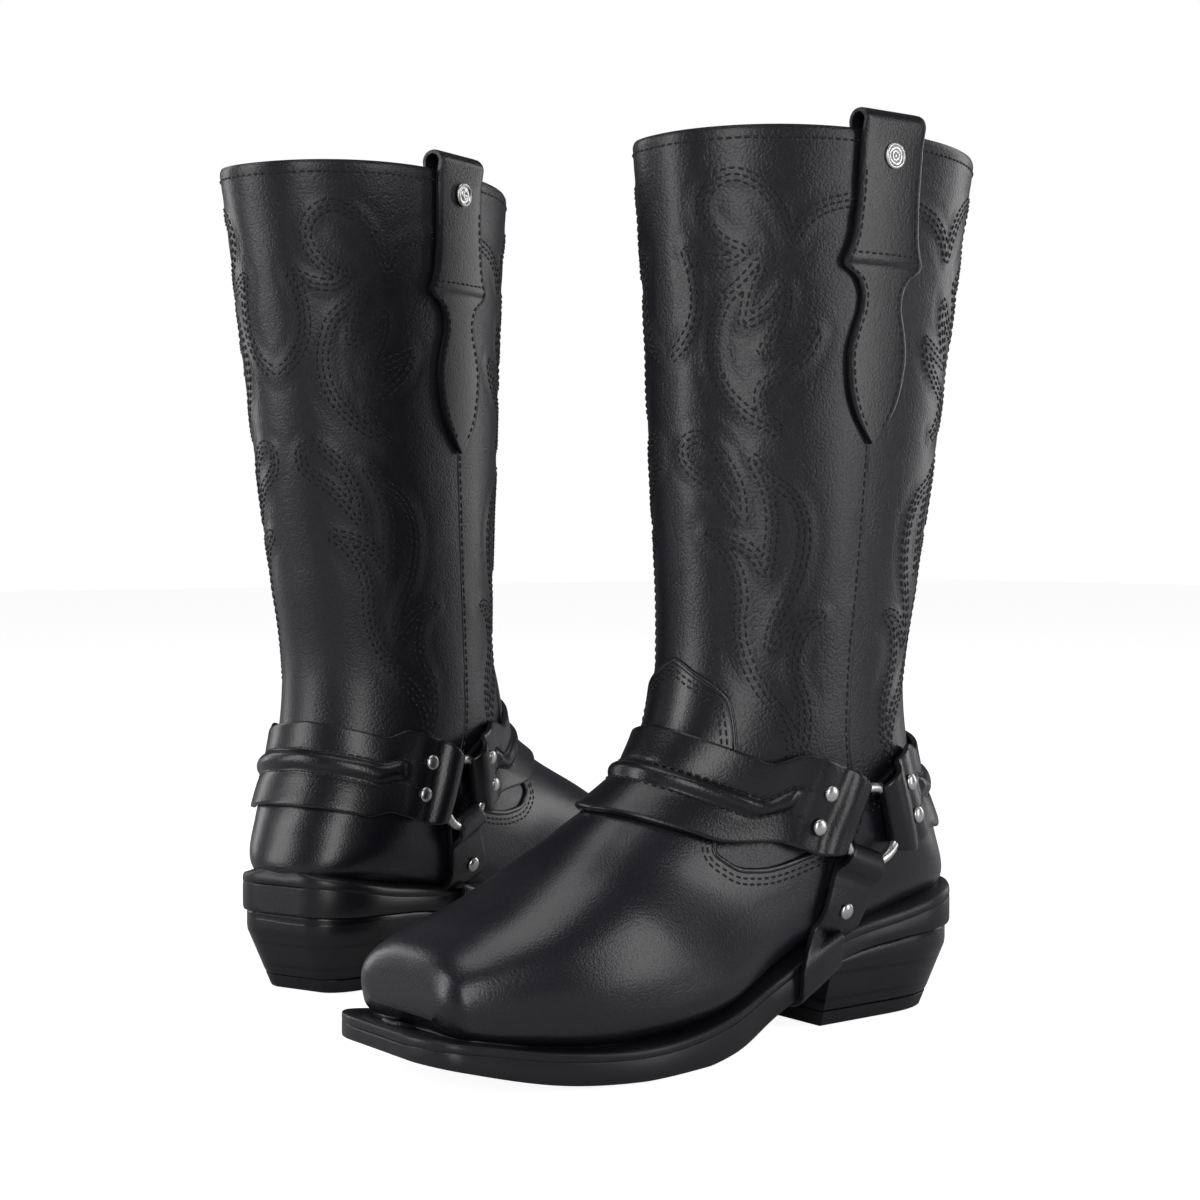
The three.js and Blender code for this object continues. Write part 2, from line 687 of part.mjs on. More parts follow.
// A strap is kept clear of the upper and of both rings.
function fitted(solid) {
  return ringTunnels.reduce((cut, tunnel) => cut.subtract(tunnel), solid.subtract(clearSkin));
}

// Where a rivet stands: its seat on the strap's outer face, and the way that it points.
function rivetSeat(angle, across, reach = rivet.reach) {
  const edge = Math.sign(across || 1) * (strap.height / 2);
  const corner = (along, over) => {
    const p = fromRing(angle, along, over);
    return sideSkin(p.x, p.z, clearOf + strap.rivetThick);
  };
  const line = (over) => [reach - seatRows.before, reach + seatRows.after].map((along) => corner(along, over));
  const middle = line(0);
  const side = line(edge);
  const near = [0, 1].map((i) => middle[i].clone().lerp(side[i], across / edge));
  const seatPoint = near[0].clone().lerp(near[1], seatRows.before / (seatRows.before + seatRows.after));
  const way = near[1].clone().sub(near[0]).cross(side[0].clone().sub(middle[0])).normalize();
  return { seatPoint, way: way.y < 0 ? way.negate() : way };
}

function lathed(profile, seatPoint, way, segments) {
  const made = new THREE.LatheGeometry(profile.map(([r, z]) => new THREE.Vector2(r, z)), segments);
  const turn = new THREE.Quaternion().setFromUnitVectors(new THREE.Vector3(0, 1, 0), way);
  made.applyQuaternion(turn);
  made.translate(seatPoint.x, seatPoint.y, seatPoint.z);
  return joined(made);
}

function rivetAt({ seatPoint, way }) {
  const deep = strap.rivetThick - fitGap;
  return lathed(
    [
      [0, -deep],
      [rivet.shank, -deep],
      [rivet.shank, rivet.stand],
      [rivet.head, rivet.stand],
      [rivet.head * 0.82, rivet.stand + rivet.rise * 0.6],
      [0, rivet.stand + rivet.rise],
    ],
    seatPoint,
    way,
    8,
  );
}
function rivetHole({ seatPoint, way }) {
  const r = rivet.shank + rivet.hole;
  const made = lathed([[0, -9], [r, -9], [r, 6], [0, 6]], seatPoint, way, 8);
  return toSolid(made);
}
function flipSeat({ seatPoint, way }) {
  return { seatPoint: lower([seatPoint], -1)[0], way: lower([way], -1)[0] };
}

function drilled(solid, seats) {
  return seats.reduce((cut, spot) => cut.subtract(rivetHole(spot)), solid);
}
const pairOf = (spots) => [...spots, ...spots.map(flipSeat)];
const seats = {
  front: pairOf([1, -1].map((k) => rivetSeat(lean, (k * rivet.apart) / 2))),
  rear: pairOf([1, -1].map((k) => rivetSeat(Math.PI - lean, (-k * rivet.apart) / 2))),
  under: pairOf([rivetSeat(lean - Math.PI / 2, 0, rivet.underReach)]),
};

function makeFrontStrap() {
  const end = ringEnd(lean, strap.frontFold, endEdges);
  const turns = spread(58, -58, 9);
  const sections = [...end, ...bandMiddle(turns, frontBand.high, frontBand.low), ...mirrored(end)];
  return fromSolid(drilled(fitted(strapSolid(sections)), seats.front));
}
function makeRearStrap() {
  const flip = ([from, to]) => [-from, -to];
  const end = ringEnd(Math.PI - lean, flip(strap.rearFold), flip(endEdges));
  const turns = spread(134, 226, 7);
  const sections = [...end, ...bandMiddle(turns, rearBand.high, rearBand.low), ...mirrored(end)];
  return fromSolid(drilled(fitted(strapSolid(sections)), seats.rear));
}

const soleClear = toSolid(
  plate(
    soleStations(soleBack, soleToe),
    (x) => soleTop(x) + fitGap + sole.weltThick + fitGap,
    (x) => soleUnder(x) - fitGap,
    -fitGap,
  ),
);
// The strap under the arch: down the outer side, under the sole's waist and up the inner side.
function makeUnderStrap() {
  const angle = lean - Math.PI / 2;
  const end = ringEnd(angle, strap.underFold, underEdges, rivet.underReach);
  const footFront = heel.breast + fitGap + strap.underWidth + 1;
  const across = spread(footFront, heel.breast + fitGap + 0.3, 3);
  const thick = strap.thick;
  const under = (x) => soleUnder(x) - 0.5;
  const corner = (y, lift) => ({
    outer: across.map((x) => new THREE.Vector3(x, outerEdge(x) + y + thick, under(x) + lift - thick * 0.3)),
    inner: across.map((x) => new THREE.Vector3(x, outerEdge(x) + y, under(x) + lift)),
  });
  const flat = (share) => ({
    outer: across.map((x) => new THREE.Vector3(x, outerEdge(x) * share, under(x) - thick)),
    inner: across.map((x) => new THREE.Vector3(x, outerEdge(x) * share, under(x))),
  });
  const side = [...end, corner(1.6, 11), corner(0.6, 1.6), flat(0.9), flat(0.4)];
  const sections = [...side, ...mirrored(side)];
  return fromSolid(drilled(fitted(strapSolid(sections)).subtract(soleClear), seats.under));
}

// ---------------------------------------------------------------- the pull straps
// Half widths down the outer leg, as [drop below the rim, half width].
const half = pull.width / 2;
const outerLeg = [
  [4.5, half],
  [pull.shoulderDrop - 12, half + 0.5],
  [pull.shoulderDrop, half + 4],
  [pull.shoulderDrop + 4, half - 0.5],
  [pull.shoulderDrop + 12, half - 5],
  [pull.shoulderDrop + 33, half - 1],
  [pull.shoulderDrop + 50, half - 4.5],
  [pull.spadeDrop, 0.8],
];
const seamX = (z) => {
  const s = THREE.MathUtils.clamp((shaft.height - z) / 280, 0, 0.8);
  return last.backX(s) + last.mid(s) * (last.frontX(s) - last.backX(s));
};

// The shaft's wall with the clearance on both faces, for the pull straps to stand off from.
const shaftClear = grown(fitGap).subtract(grown(-leather - fitGap, { rise: 0.02 }));
function makePullStrap(side) {
  const across = [-1, 0, 1];
  const rimY = halfRim - leather / 2;
  const inner = pull.stand;
  const arcZ = shaft.height + pull.rise - pull.thick - inner;
  const arc = spread(0, Math.PI, 6).map((a) => ({
    outer: across.map(
      (k) =>
        new THREE.Vector3(
          shaft.rimCentre + k * half,
          rimY + Math.cos(a) * (inner + pull.thick),
          arcZ + Math.sin(a) * (inner + pull.thick),
        ),
    ),
    inner: across.map(
      (k) =>
        new THREE.Vector3(
          shaft.rimCentre + k * half,
          rimY + Math.cos(a) * inner,
          arcZ + Math.sin(a) * inner,
        ),
    ),
  }));
  const leg = (drop, w, near, far) => {
    const z = shaft.height - drop;
    const line = (out) => across.map((k) => sideSkin(seamX(z) + k * w, z, out));
    return { outer: line(far), inner: line(near) };
  };
  const out = outerLeg.map(([drop, w]) => leg(drop, w, fitGap, fitGap + pull.thick));
  const inside = [5, pull.insideDrop].map((drop) =>
    leg(drop, half, -leather - fitGap, -leather - fitGap - pull.thick),
  );
  const sections = [...out.reverse(), ...arc, ...inside].map((s) => ({
    outer: lower(s.outer, side),
    inner: lower(s.inner, side),
  }));
  const body = strapSolid(sections);
  return fromSolid(body.subtract(shaftClear).subtract(studHole(side)));
}
function studSeat(side) {
  const z = shaft.height - stud.drop;
  const seatPoint = lower([sideSkin(seamX(z), z, fitGap + pull.thick)], side)[0];
  return { seatPoint, way: new THREE.Vector3(0, side, 0) };
}
function studHole(side) {
  const { seatPoint, way } = studSeat(side);
  const r = rivet.shank + rivet.hole;
  return toSolid(lathed([[0, -pull.thick - 0.6], [r, -pull.thick - 0.6], [r, 6], [0, 6]], seatPoint, way, 8));
}
function makeStud(side) {
  const { seatPoint, way } = studSeat(side);
  return lathed(
    [
      [0, -pull.thick],
      [rivet.shank, -pull.thick],
      [rivet.shank, fitGap],
      [stud.head, fitGap],
      [stud.head, fitGap + stud.rise * 0.6],
      [stud.head * 0.8, fitGap + stud.rise],
      [0, fitGap + stud.rise],
    ],
    seatPoint,
    way,
    10,
  );
}

// ---------------------------------------------------------------- finishes
const finish = (color, roughness, metalness = 0) =>
  new THREE.MeshStandardMaterial({ color, roughness, metalness });
const finishes = {
  leather: finish(0x16161c, 0.42),
  strap: finish(0x14141a, 0.36),
  rubber: finish(0x101014, 0.5),
  heel: finish(0x131318, 0.4),
  board: finish(0x6b5233, 0.85),
  sock: finish(0x1c1b1d, 0.8),
  steel: finish(0x9a9ca0, 0.35, 1),
  nickel: finish(0xd6d7da, 0.18, 1),
};

// ---------------------------------------------------------------- assembly
const flipped = (made) => {
  const copy = made.clone();
  copy.scale(1, -1, 1);
  return facedOut(copy);
};
const innerRing = () => flipped(ringAt(ring.wire, 20, 6));

const pieces = [
  ["outsole", makeOutsole(), "rubber"],
  ["welt", makeWelt(), "rubber"],
  ["heel_block", makeHeelBlock(), "heel"],
  ["heel_lift", makeHeelLift(), "rubber"],
  ["insole_board", makeInsoleBoard(), "board"],
  ["shank", makeShank(), "steel"],
  ["sock_liner", makeSockLiner(), "sock"],
  ["vamp", makeVamp(), "leather"],
  ["heel_counter", makeCounter(), "leather"],
  ["shaft_front", makeShaftFront(), "leather"],
  ["shaft_back", makeShaftBack(), "leather"],
  ["pull_strap_outer", makePullStrap(1), "strap"],
  ["pull_strap_inner", makePullStrap(-1), "strap"],
  ["harness_front_strap", makeFrontStrap(), "strap"],
  ["harness_rear_strap", makeRearStrap(), "strap"],
  ["harness_under_strap", makeUnderStrap(), "strap"],
  ["ring_outer", ringAt(ring.wire, 20, 6), "nickel"],
  ["ring_inner", innerRing(), "nickel"],
  ["stud_outer", makeStud(1), "nickel"],
  ["stud_inner", makeStud(-1), "nickel"],
];
const rivetNames = {
  front: ["outer_upper", "outer_lower", "inner_upper", "inner_lower"],
  rear: ["outer_upper", "outer_lower", "inner_upper", "inner_lower"],
  under: ["outer", "inner"],
};
for (const [where, names] of Object.entries(rivetNames)) {
  names.forEach((name, i) => {
    pieces.push([`rivet_${where}_${name}`, rivetAt(seats[where][i]), "nickel"]);
  });
}

const pair = new THREE.Group();
function addBoot(prefix, mirror, turnDegrees, [x, y]) {
  const boot = new THREE.Group();
  boot.rotation.z = rad(turnDegrees);
  boot.position.set(x, y, 0);
  for (const [name, made, finishName] of pieces) {
    const mesh = new THREE.Mesh(mirror ? flipped(made) : made, finishes[finishName]);
    mesh.name = `${prefix}_${name}`;
    boot.add(mesh);
  }
  pair.add(boot);
}

addBoot("left", false, -90, [0, 0]);
addBoot("right", true, -90 + rightTurn, rightPlace);

// The pair's origin is on the floor, under the middle of its outline.
const outline = new THREE.Box3().setFromObject(pair, true);
pair.position.set(-(outline.min.x + outline.max.x) / 2, -(outline.min.y + outline.max.y) / 2, 0);

export default pair;
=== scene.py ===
"""Tall harness boots, a pair: the leather, stitching, harness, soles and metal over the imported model."""

import math

import bpy
import numpy as np
from bpy.props import FloatProperty, FloatVectorProperty, IntProperty, PointerProperty
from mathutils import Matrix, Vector, kdtree, noise


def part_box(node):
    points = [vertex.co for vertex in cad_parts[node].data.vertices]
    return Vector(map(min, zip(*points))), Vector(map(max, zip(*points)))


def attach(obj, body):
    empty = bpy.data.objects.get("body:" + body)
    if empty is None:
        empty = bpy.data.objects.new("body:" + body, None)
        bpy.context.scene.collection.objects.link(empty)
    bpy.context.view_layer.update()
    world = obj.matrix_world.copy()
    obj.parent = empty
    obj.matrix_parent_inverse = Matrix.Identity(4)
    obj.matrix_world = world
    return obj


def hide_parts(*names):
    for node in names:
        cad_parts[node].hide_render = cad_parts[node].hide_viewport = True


bl_info = {
    "name": "Harness Boots",
    "version": (1, 0, 0),
    "blender": (4, 5, 0),
    "location": "View3D > Sidebar > Boots",
    "description": "Builds the leather, stitching, harness, soles and metal of a pair of tall harness boots",
    "category": "Add Mesh",
}

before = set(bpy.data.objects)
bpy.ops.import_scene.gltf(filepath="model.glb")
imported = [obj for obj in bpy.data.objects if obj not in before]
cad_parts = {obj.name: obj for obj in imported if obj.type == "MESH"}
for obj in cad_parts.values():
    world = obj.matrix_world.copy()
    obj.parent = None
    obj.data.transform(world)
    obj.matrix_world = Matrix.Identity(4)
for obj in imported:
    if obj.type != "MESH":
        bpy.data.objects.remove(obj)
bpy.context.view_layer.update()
MM = 0.001


# ---------------------------------------------------------------- sizes and colours
def length_of(name, description, default):
    """A length property from its default in millimetres."""
    return FloatProperty(name=name, description=description, default=default * MM, unit="LENGTH")


def colour_of(name, description, default):
    return FloatVectorProperty(
        name=name, description=description, subtype="COLOR", size=3, default=default, min=0, max=1
    )


class LeatherSizes(bpy.types.PropertyGroup):
    """Thicknesses of the leather and the depth of its surface."""

    shaft: length_of("Shaft leather", "Thickness with the lining", 2.4)
    overlay: length_of("Overlay", "How far vamp and counter stand proud of the shaft", 1.0)
    ripple: length_of("Ripple", "Height of the shafts' soft unevenness", 0.4)
    puff: length_of("Puff", "How far leather swells between stitch rows", 0.24)
    edge_roll: length_of("Edge roll", "Radius of a turned edge", 1.15)


class StitchSizes(bpy.types.PropertyGroup):
    """The thread and how it is sewn."""

    length: length_of("Stitch", "Length of one stitch", 2.5)
    pitch: length_of("Pitch", "From one stitch to the next", 3.2)
    thread: length_of("Thread", "Radius of the thread", 0.45)
    row_gap: length_of("Row gap", "Between the rows of the pattern", 2.2)
    rows: IntProperty(name="Rows", description="Rows of stitches in the pattern", default=3, min=1, max=5)


class StrapSizes(bpy.types.PropertyGroup):
    """The harness straps and the pull straps."""

    thick: length_of("Thickness", "Thickness of a harness strap", 2.4)
    bead: length_of("Bead", "Height of the padded bead along a strap", 2.1)
    bead_width: length_of("Bead width", "Width of the bead", 7.4)
    pull_thick: length_of("Pull strap", "Thickness of a pull strap", 2.0)
    pull_width: length_of("Pull width", "Width of a pull strap", 30)


class MetalSizes(bpy.types.PropertyGroup):
    """Rings, rivets and studs."""

    ring_radius: length_of("Ring", "Radius to the wire's middle", 13.8)
    ring_wire: length_of("Wire", "Radius of the ring's wire", 1.9)
    rivet_head: length_of("Rivet head", "Radius of a rivet's head", 3.1)
    stud_head: length_of("Stud head", "Radius of a stud's head", 4.8)


class Finishes(bpy.types.PropertyGroup):
    """Colours of the finishes."""

    leather: colour_of("Leather", "Shafts and foot", (0.008, 0.0082, 0.0118))
    strap: colour_of("Straps", "Harness and pull straps", (0.0072, 0.0073, 0.0098))
    thread: colour_of("Thread", "Sewing thread", (0.0035, 0.0035, 0.0045))
    rubber: colour_of("Soles", "Soles and heels", (0.0085, 0.0085, 0.0105))
    nickel: colour_of("Nickel", "Rings, rivets and studs", (0.78, 0.77, 0.75))
    lining: colour_of("Lining", "Inside of the shafts", (0.02, 0.019, 0.019))
    floor: colour_of("Floor", "The pale floor", (0.6, 0.6, 0.61))


class StageSizes(bpy.types.PropertyGroup):
    """Camera and lights."""

    camera: FloatVectorProperty(
        name="Camera",
        description="Where the camera stands",
        subtype="TRANSLATION",
        size=3,
        default=(0.7205, -0.5163, 0.182),
    )
    heading: FloatProperty(
        name="Heading", description="Camera's heading in plan", subtype="ANGLE", default=math.radians(52.7)
    )
    pitch: FloatProperty(
        name="Pitch", description="How far the camera looks down", subtype="ANGLE", default=math.radians(1.72)
    )
    lens: FloatProperty(name="Lens", description="Focal length in millimetres on a 36 mm sensor", default=65.3)
    light: FloatProperty(name="Light", description="Strength of the soft boxes", default=1.0, min=0)


class BootSettings(bpy.types.PropertyGroup):
    """Everything a user may change."""

    leather: PointerProperty(type=LeatherSizes)
    stitch: PointerProperty(type=StitchSizes)
    straps: PointerProperty(type=StrapSizes)
    metal: PointerProperty(type=MetalSizes)
    finishes: PointerProperty(type=Finishes)
    stage: PointerProperty(type=StageSizes)


def settings():
    return bpy.context.scene.boot_settings


def mm(value):
    """A length property, in millimetres."""
    return value / MM


# ---------------------------------------------------------------- the last
# The foot form that both boots are built on, in millimetres, with x to the toe, y to the
# outer side and z up. Ribs are slanted rings round it: s runs from the rim to the toe, and
# turn goes round, 0 in front, 90 on the outer side and 180 behind.
class Curve:
    """A smooth curve through values at given keys, straight beyond both ends."""

    def __init__(self, keys, values):
        k, v = np.array(keys, float), np.array(values, float)
        step = np.diff(k)
        rise = (np.diff(v, axis=0).T / step).T
        slope = np.empty_like(v)
        slope[0], slope[-1] = rise[0], rise[-1]
        for i in range(1, len(k) - 1):
            slope[i] = (rise[i - 1] * step[i] + rise[i] * step[i - 1]) / (step[i] + step[i - 1])
        self.k, self.v, self.m = k, v, slope

    def __call__(self, at):
        at = np.asarray(at, float)
        i = np.clip(np.searchsorted(self.k, at, side="right") - 1, 0, len(self.k) - 2)
        h = self.k[i + 1] - self.k[i]
        t = np.clip((at - self.k[i]) / h, 0, 1)
        low, high = np.minimum(at - self.k[0], 0), np.maximum(at - self.k[-1], 0)
        if self.v.ndim > 1:
            h, t, low, high = (a[..., None] for a in (h, t, low, high))
        cubic = (
            (2 * t**3 - 3 * t**2 + 1) * self.v[i]
            + (t**3 - 2 * t**2 + t) * h * self.m[i]
            + (3 * t**2 - 2 * t**3) * self.v[i + 1]
            + (t**3 - t**2) * h * self.m[i + 1]
        )
        return cubic + low * self.m[0] + high * self.m[-1]


RIM_Z, ANKLE_Z, TOE = 328.0, 122.0, 181.5
HALF_RIM, HALF_ANKLE = 44.0, 38.3


def leg_z(share):
    return ANKLE_Z + share * (RIM_Z - ANKLE_Z)


def half_leg(share):
    return HALF_ANKLE + share * (HALF_RIM - HALF_ANKLE)


# s, front x and z, back x and z, half width, side shift, middle, roundness above and below
RIBS = [
    (0.00, 73, RIM_Z, -77, RIM_Z, HALF_RIM, 0, 0.5, 2.2, 2.2),
    (0.20, 68, leg_z(0.71), -66, leg_z(0.71), half_leg(0.66), 0, 0.5, 2.2, 2.2),
    (0.40, 64.5, leg_z(0.42), -55.5, leg_z(0.42), half_leg(0.35), 0, 0.5, 2.2, 2.2),
    (0.56, 62, 165, -46, 162, half_leg(0.15), 0, 0.5, 2.15, 2.15),
    (0.68, 62.5, 135, -40, 122, HALF_ANKLE, 0, 0.5, 2.1, 2.1),
    (0.78, 69, 112, -47, 86, HALF_ANKLE, 0, 0.5, 2.1, 2.2),
    (0.83, 75, 103, -57, 64, 37.5, 0, 0.48, 2.1, 2.3),
    (0.88, 82, 95, -58, 46, 35.5, 0, 0.46, 2.1, 2.6),
    (0.93, 92, 88, -28, 39.5, 34.2, 0.5, 0.42, 2.1, 3),
    (1.00, 108, 79, 22, 31, 34.2, 1.5, 0.37, 2.2, 3.5),
    (1.10, 0.705 * TOE, 68, 0.386 * TOE, 15, 40.5, 4, 0.32, 2.3, 4),
    (1.20, 0.815 * TOE, 57, 0.634 * TOE, 10.5, 41.5, 4, 0.30, 2.4, 4),
    (1.30, 0.909 * TOE, 49, 0.838 * TOE, 13.5, 37, 1.5, 0.30, 2.6, 4),
    (1.38, 0.975 * TOE, 41, 0.953 * TOE, 17.5, 31, 0, 0.32, 3, 4),
    (1.42, TOE, 33, 0.997 * TOE, 21.5, 27, 0, 0.40, 3.2, 4),
]
RIB_S = [rib[0] for rib in RIBS]
FRONT_X, FRONT_Z, BACK_X, BACK_Z, HALF, SIDE, MID, UPPER, LOWER = (
    Curve(RIB_S, [rib[i] for rib in RIBS]) for i in range(1, 10)
)


def middle(s):
    m = MID(s)
    return BACK_X(s) + m * (FRONT_X(s) - BACK_X(s)), BACK_Z(s) + m * (FRONT_Z(s) - BACK_Z(s))


def last_point(s, turn):
    s, turn = np.broadcast_arrays(np.asarray(s, float), np.asarray(turn, float))
    c, side = np.cos(np.radians(turn)), np.sin(np.radians(turn))
    above = c >= 0
    n = np.where(above, UPPER(s), LOWER(s))
    mid_x, mid_z = middle(s)
    far = np.abs(c) ** (2 / n)
    end_x = np.where(above, FRONT_X(s), BACK_X(s))
    end_z = np.where(above, FRONT_Z(s), BACK_Z(s))
    dip = np.where(s < 0.2, 3 * (1 - s / 0.2) * c * c, 0)
    y = SIDE(s) + HALF(s) * np.sign(side) * np.abs(side) ** (2 / n)
    return np.stack([mid_x + (end_x - mid_x) * far, y, mid_z + (end_z - mid_z) * far - dip], -1)


def normals(s, turn):
    """Unit normals out of the last."""
    s, turn = np.broadcast_arrays(np.asarray(s, float), np.asarray(turn, float))
    down = last_point(s + 0.004, turn) - last_point(s - 0.004, turn)
    around = last_point(s, turn + 1) - last_point(s, turn - 1)
    n = np.cross(around, down)
    n /= np.linalg.norm(n, axis=-1, keepdims=True) + 1e-12
    mid_x, mid_z = middle(s)
    inward = np.stack([mid_x, SIDE(s), mid_z], -1) - last_point(s, turn)
    return -n * np.sign(np.sum(n * inward, -1))[..., None]


def skin(s, turn, out):
    """Points moved out from the last, square to its surface."""
    return last_point(s, turn) + normals(s, turn) * np.asarray(out, float)[..., None]


def place(x, z):
    """The s and turn of the outer side's points at (x, z) in the side view."""
    x, z = np.broadcast_arrays(np.asarray(x, float), np.asarray(z, float))
    s = np.clip((RIM_Z - z) / 290, 0.02, 0.9)
    turn = np.full_like(s, 88.0)
    for _ in range(40):
        p = last_point(s, turn)
        ds = (last_point(s + 0.002, turn) - p) / 0.002
        dt = (last_point(s, turn + 0.5) - p) / 0.5
        det = ds[..., 0] * dt[..., 2] - ds[..., 2] * dt[..., 0]
        ex, ez = x - p[..., 0], z - p[..., 2]
        s = s + np.clip((ex * dt[..., 2] - ez * dt[..., 0]) / det, -0.04, 0.04)
        turn = np.clip(turn + np.clip((ds[..., 0] * ez - ds[..., 2] * ex) / det, -6, 6), 1, 179)
    return s, turn


def side_skin(x, z, out):
    s, turn = place(x, z)
    return skin(s, turn, out)


# Where the shaft ends and the vamp or counter begins, as s at a turn.
JOINT_TURNS = [0, 4, 15, 24, 30, 34, 37, 40, 44, 50, 57, 66, 74, 80, 84, 88, 95, 105, 132, 180]
JOINT_S = [
    0.674, 0.679, 0.695, 0.707, 0.716, 0.727, 0.748, 0.778, 0.83, 0.915,
    0.955, 0.968, 0.965, 0.94, 0.89, 0.835, 0.815, 0.8, 0.772, 0.758,
]  # fmt: skip
JOINT = Curve(JOINT_TURNS, JOINT_S)
COUNTER_END = Curve([88, 95, 105, 125, 180], [0.87, 0.93, 0.958, 0.982, 1.0])
COUNTER_TURN = 88.0


def fold_turn(turn):
    """A turn on either side, as 0 in front to 180 behind."""
    turn = np.mod(np.asarray(turn, float), 360)
    return np.where(turn > 180, 360 - turn, turn)


# The bottom: the last's bottom line, the sole's top and underside, and its two edges.
SOLE_TOE, SOLE_BACK, HEEL_BREAST, SEAT = TOE + 7.5, -62.0, 12.5, 46.0
BOTTOM = Curve(
    [-58, -28, 22, 50, 0.386 * TOE, 0.634 * TOE, 0.838 * TOE, 0.953 * TOE, SOLE_TOE],
    [SEAT - 0.5, SEAT - 6.5, 31, 20.5, 15, 10.5, 13.5, 17.2, 19.5],
)
UNDER_LINE = Curve(
    [SOLE_BACK, -28, HEEL_BREAST, 38, 65, 84, 114, 0.8 * TOE, SOLE_TOE],
    [SEAT - 14, SEAT - 16, 24, 13.2, 3, 0, 0, 2.2, 12],
)
EDGE_X = [-34, 0, 25, 50, 70, 90, 112, 135, 160, SOLE_TOE - 9]


def outer_at(k):
    return 31 + k * 19


def inner_at(k):
    return -27 - k * 14.5


OUTER_EDGE = Curve(EDGE_X, [31, 31] + [outer_at(k) for k in (0.2, 0.35, 0.66, 0.88, 1, 0.86, 0.52, 0.16)])
INNER_EDGE = Curve(EDGE_X, [-30, -29] + [inner_at(k) for k in (0.1, 0.2, 0.66, 0.88, 1, 1, 0.85, 0.56)])


def sole_top(x):
    return BOTTOM(x) - 2.4


def sole_under(x):
    return np.maximum(0, UNDER_LINE(x))


ROUND_BACK, ROUND_TOE = 27, 13  # how far from its ends the sole narrows


def end_share(x):
    """How much of its width the sole keeps near its two ends."""
    back = np.clip((SOLE_BACK + ROUND_BACK - x) / ROUND_BACK, 0, 1)
    toe = np.clip((x - SOLE_TOE + ROUND_TOE) / ROUND_TOE, 0, 1)
    share_back = 0.33 + 0.67 * np.sqrt(np.maximum(0, 1 - back**2.2))
    share_toe = 0.42 + 0.58 * np.sqrt(np.maximum(0, 1 - toe**2.7))
    return np.where(back > 0, share_back, np.where(toe > 0, share_toe, 1.0))


# ---------------------------------------------------------------- the two boots
RING_X, RING_Z = 4.5, 76.0


class Boot:
    """Where one boot stands: its axes in the shared frame."""

    def __init__(self, name, toe_side):
        self.name = name
        ends = []
        for ring in ("ring_outer", "ring_inner"):
            low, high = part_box(f"{name}_{ring}")
            ends.append((np.array(low) + np.array(high)) / 2)
        across = ends[0] - ends[1]
        across[2] = 0
        self.y = across / np.linalg.norm(across)
        self.x = np.array([toe_side * self.y[1], -toe_side * self.y[0], 0])
        self.z = np.array([0, 0, 1.0])
        self.origin = (ends[0] + ends[1]) / 2 - self.x * RING_X * MM
        self.origin[2] = 0
        self.mirrored = toe_side < 0

    def to_frame(self, points):
        p = np.asarray(points, float) * MM
        return self.origin + p[:, :1] * self.x + p[:, 1:2] * self.y + p[:, 2:3] * self.z

    def body(self):
        return f"{self.name}_boot"


BOOTS = [Boot("left", 1), Boot("right", -1)]


class Soup:
    """Points and faces gathered from several pieces of one mesh."""

    def __init__(self):
        self.points, self.faces, self.slots, self.count = [], [], [], 0

    def add(self, points, faces):
        points = np.asarray(points, float).reshape(-1, 3)
        faces = np.asarray(faces, int)
        self.points.append(points)
        self.faces.append(faces + self.count)
        self.slots.append(np.zeros(len(faces), int))
        self.count += len(points)
        return self


def quads(rows, columns, close_rows=False, close_columns=False, start=0):
    i = np.arange(rows if close_rows else rows - 1)
    j = np.arange(columns if close_columns else columns - 1)
    i, j = (a.ravel() for a in np.meshgrid(i, j, indexing="ij"))
    i1, j1 = (i + 1) % rows, (j + 1) % columns
    return start + np.stack([i * columns + j, i1 * columns + j, i1 * columns + j1, i * columns + j1], 1)


def shell(outer, inner, close_columns=False):
    """A closed solid between two grids of points with the same rows and columns."""
    rows, columns = outer.shape[:2]
    n = rows * columns
    faces = [
        quads(rows, columns, close_columns=close_columns),
        quads(rows, columns, close_columns=close_columns, start=n)[:, ::-1],
    ]

    def strip(line):
        a, b = line[:-1], line[1:]
        return np.stack([a, b, b + n, a + n], 1)

    def closed(line):
        return np.append(line, line[0]) if close_columns else line

    faces += [strip(closed(np.arange(columns)))[:, ::-1], strip(closed((rows - 1) * columns + np.arange(columns)))]
    if not close_columns:
        faces += [strip(np.arange(rows) * columns), strip(np.arange(rows) * columns + columns - 1)[:, ::-1]]
    return np.concatenate([outer.reshape(-1, 3), inner.reshape(-1, 3)]), np.concatenate(faces)


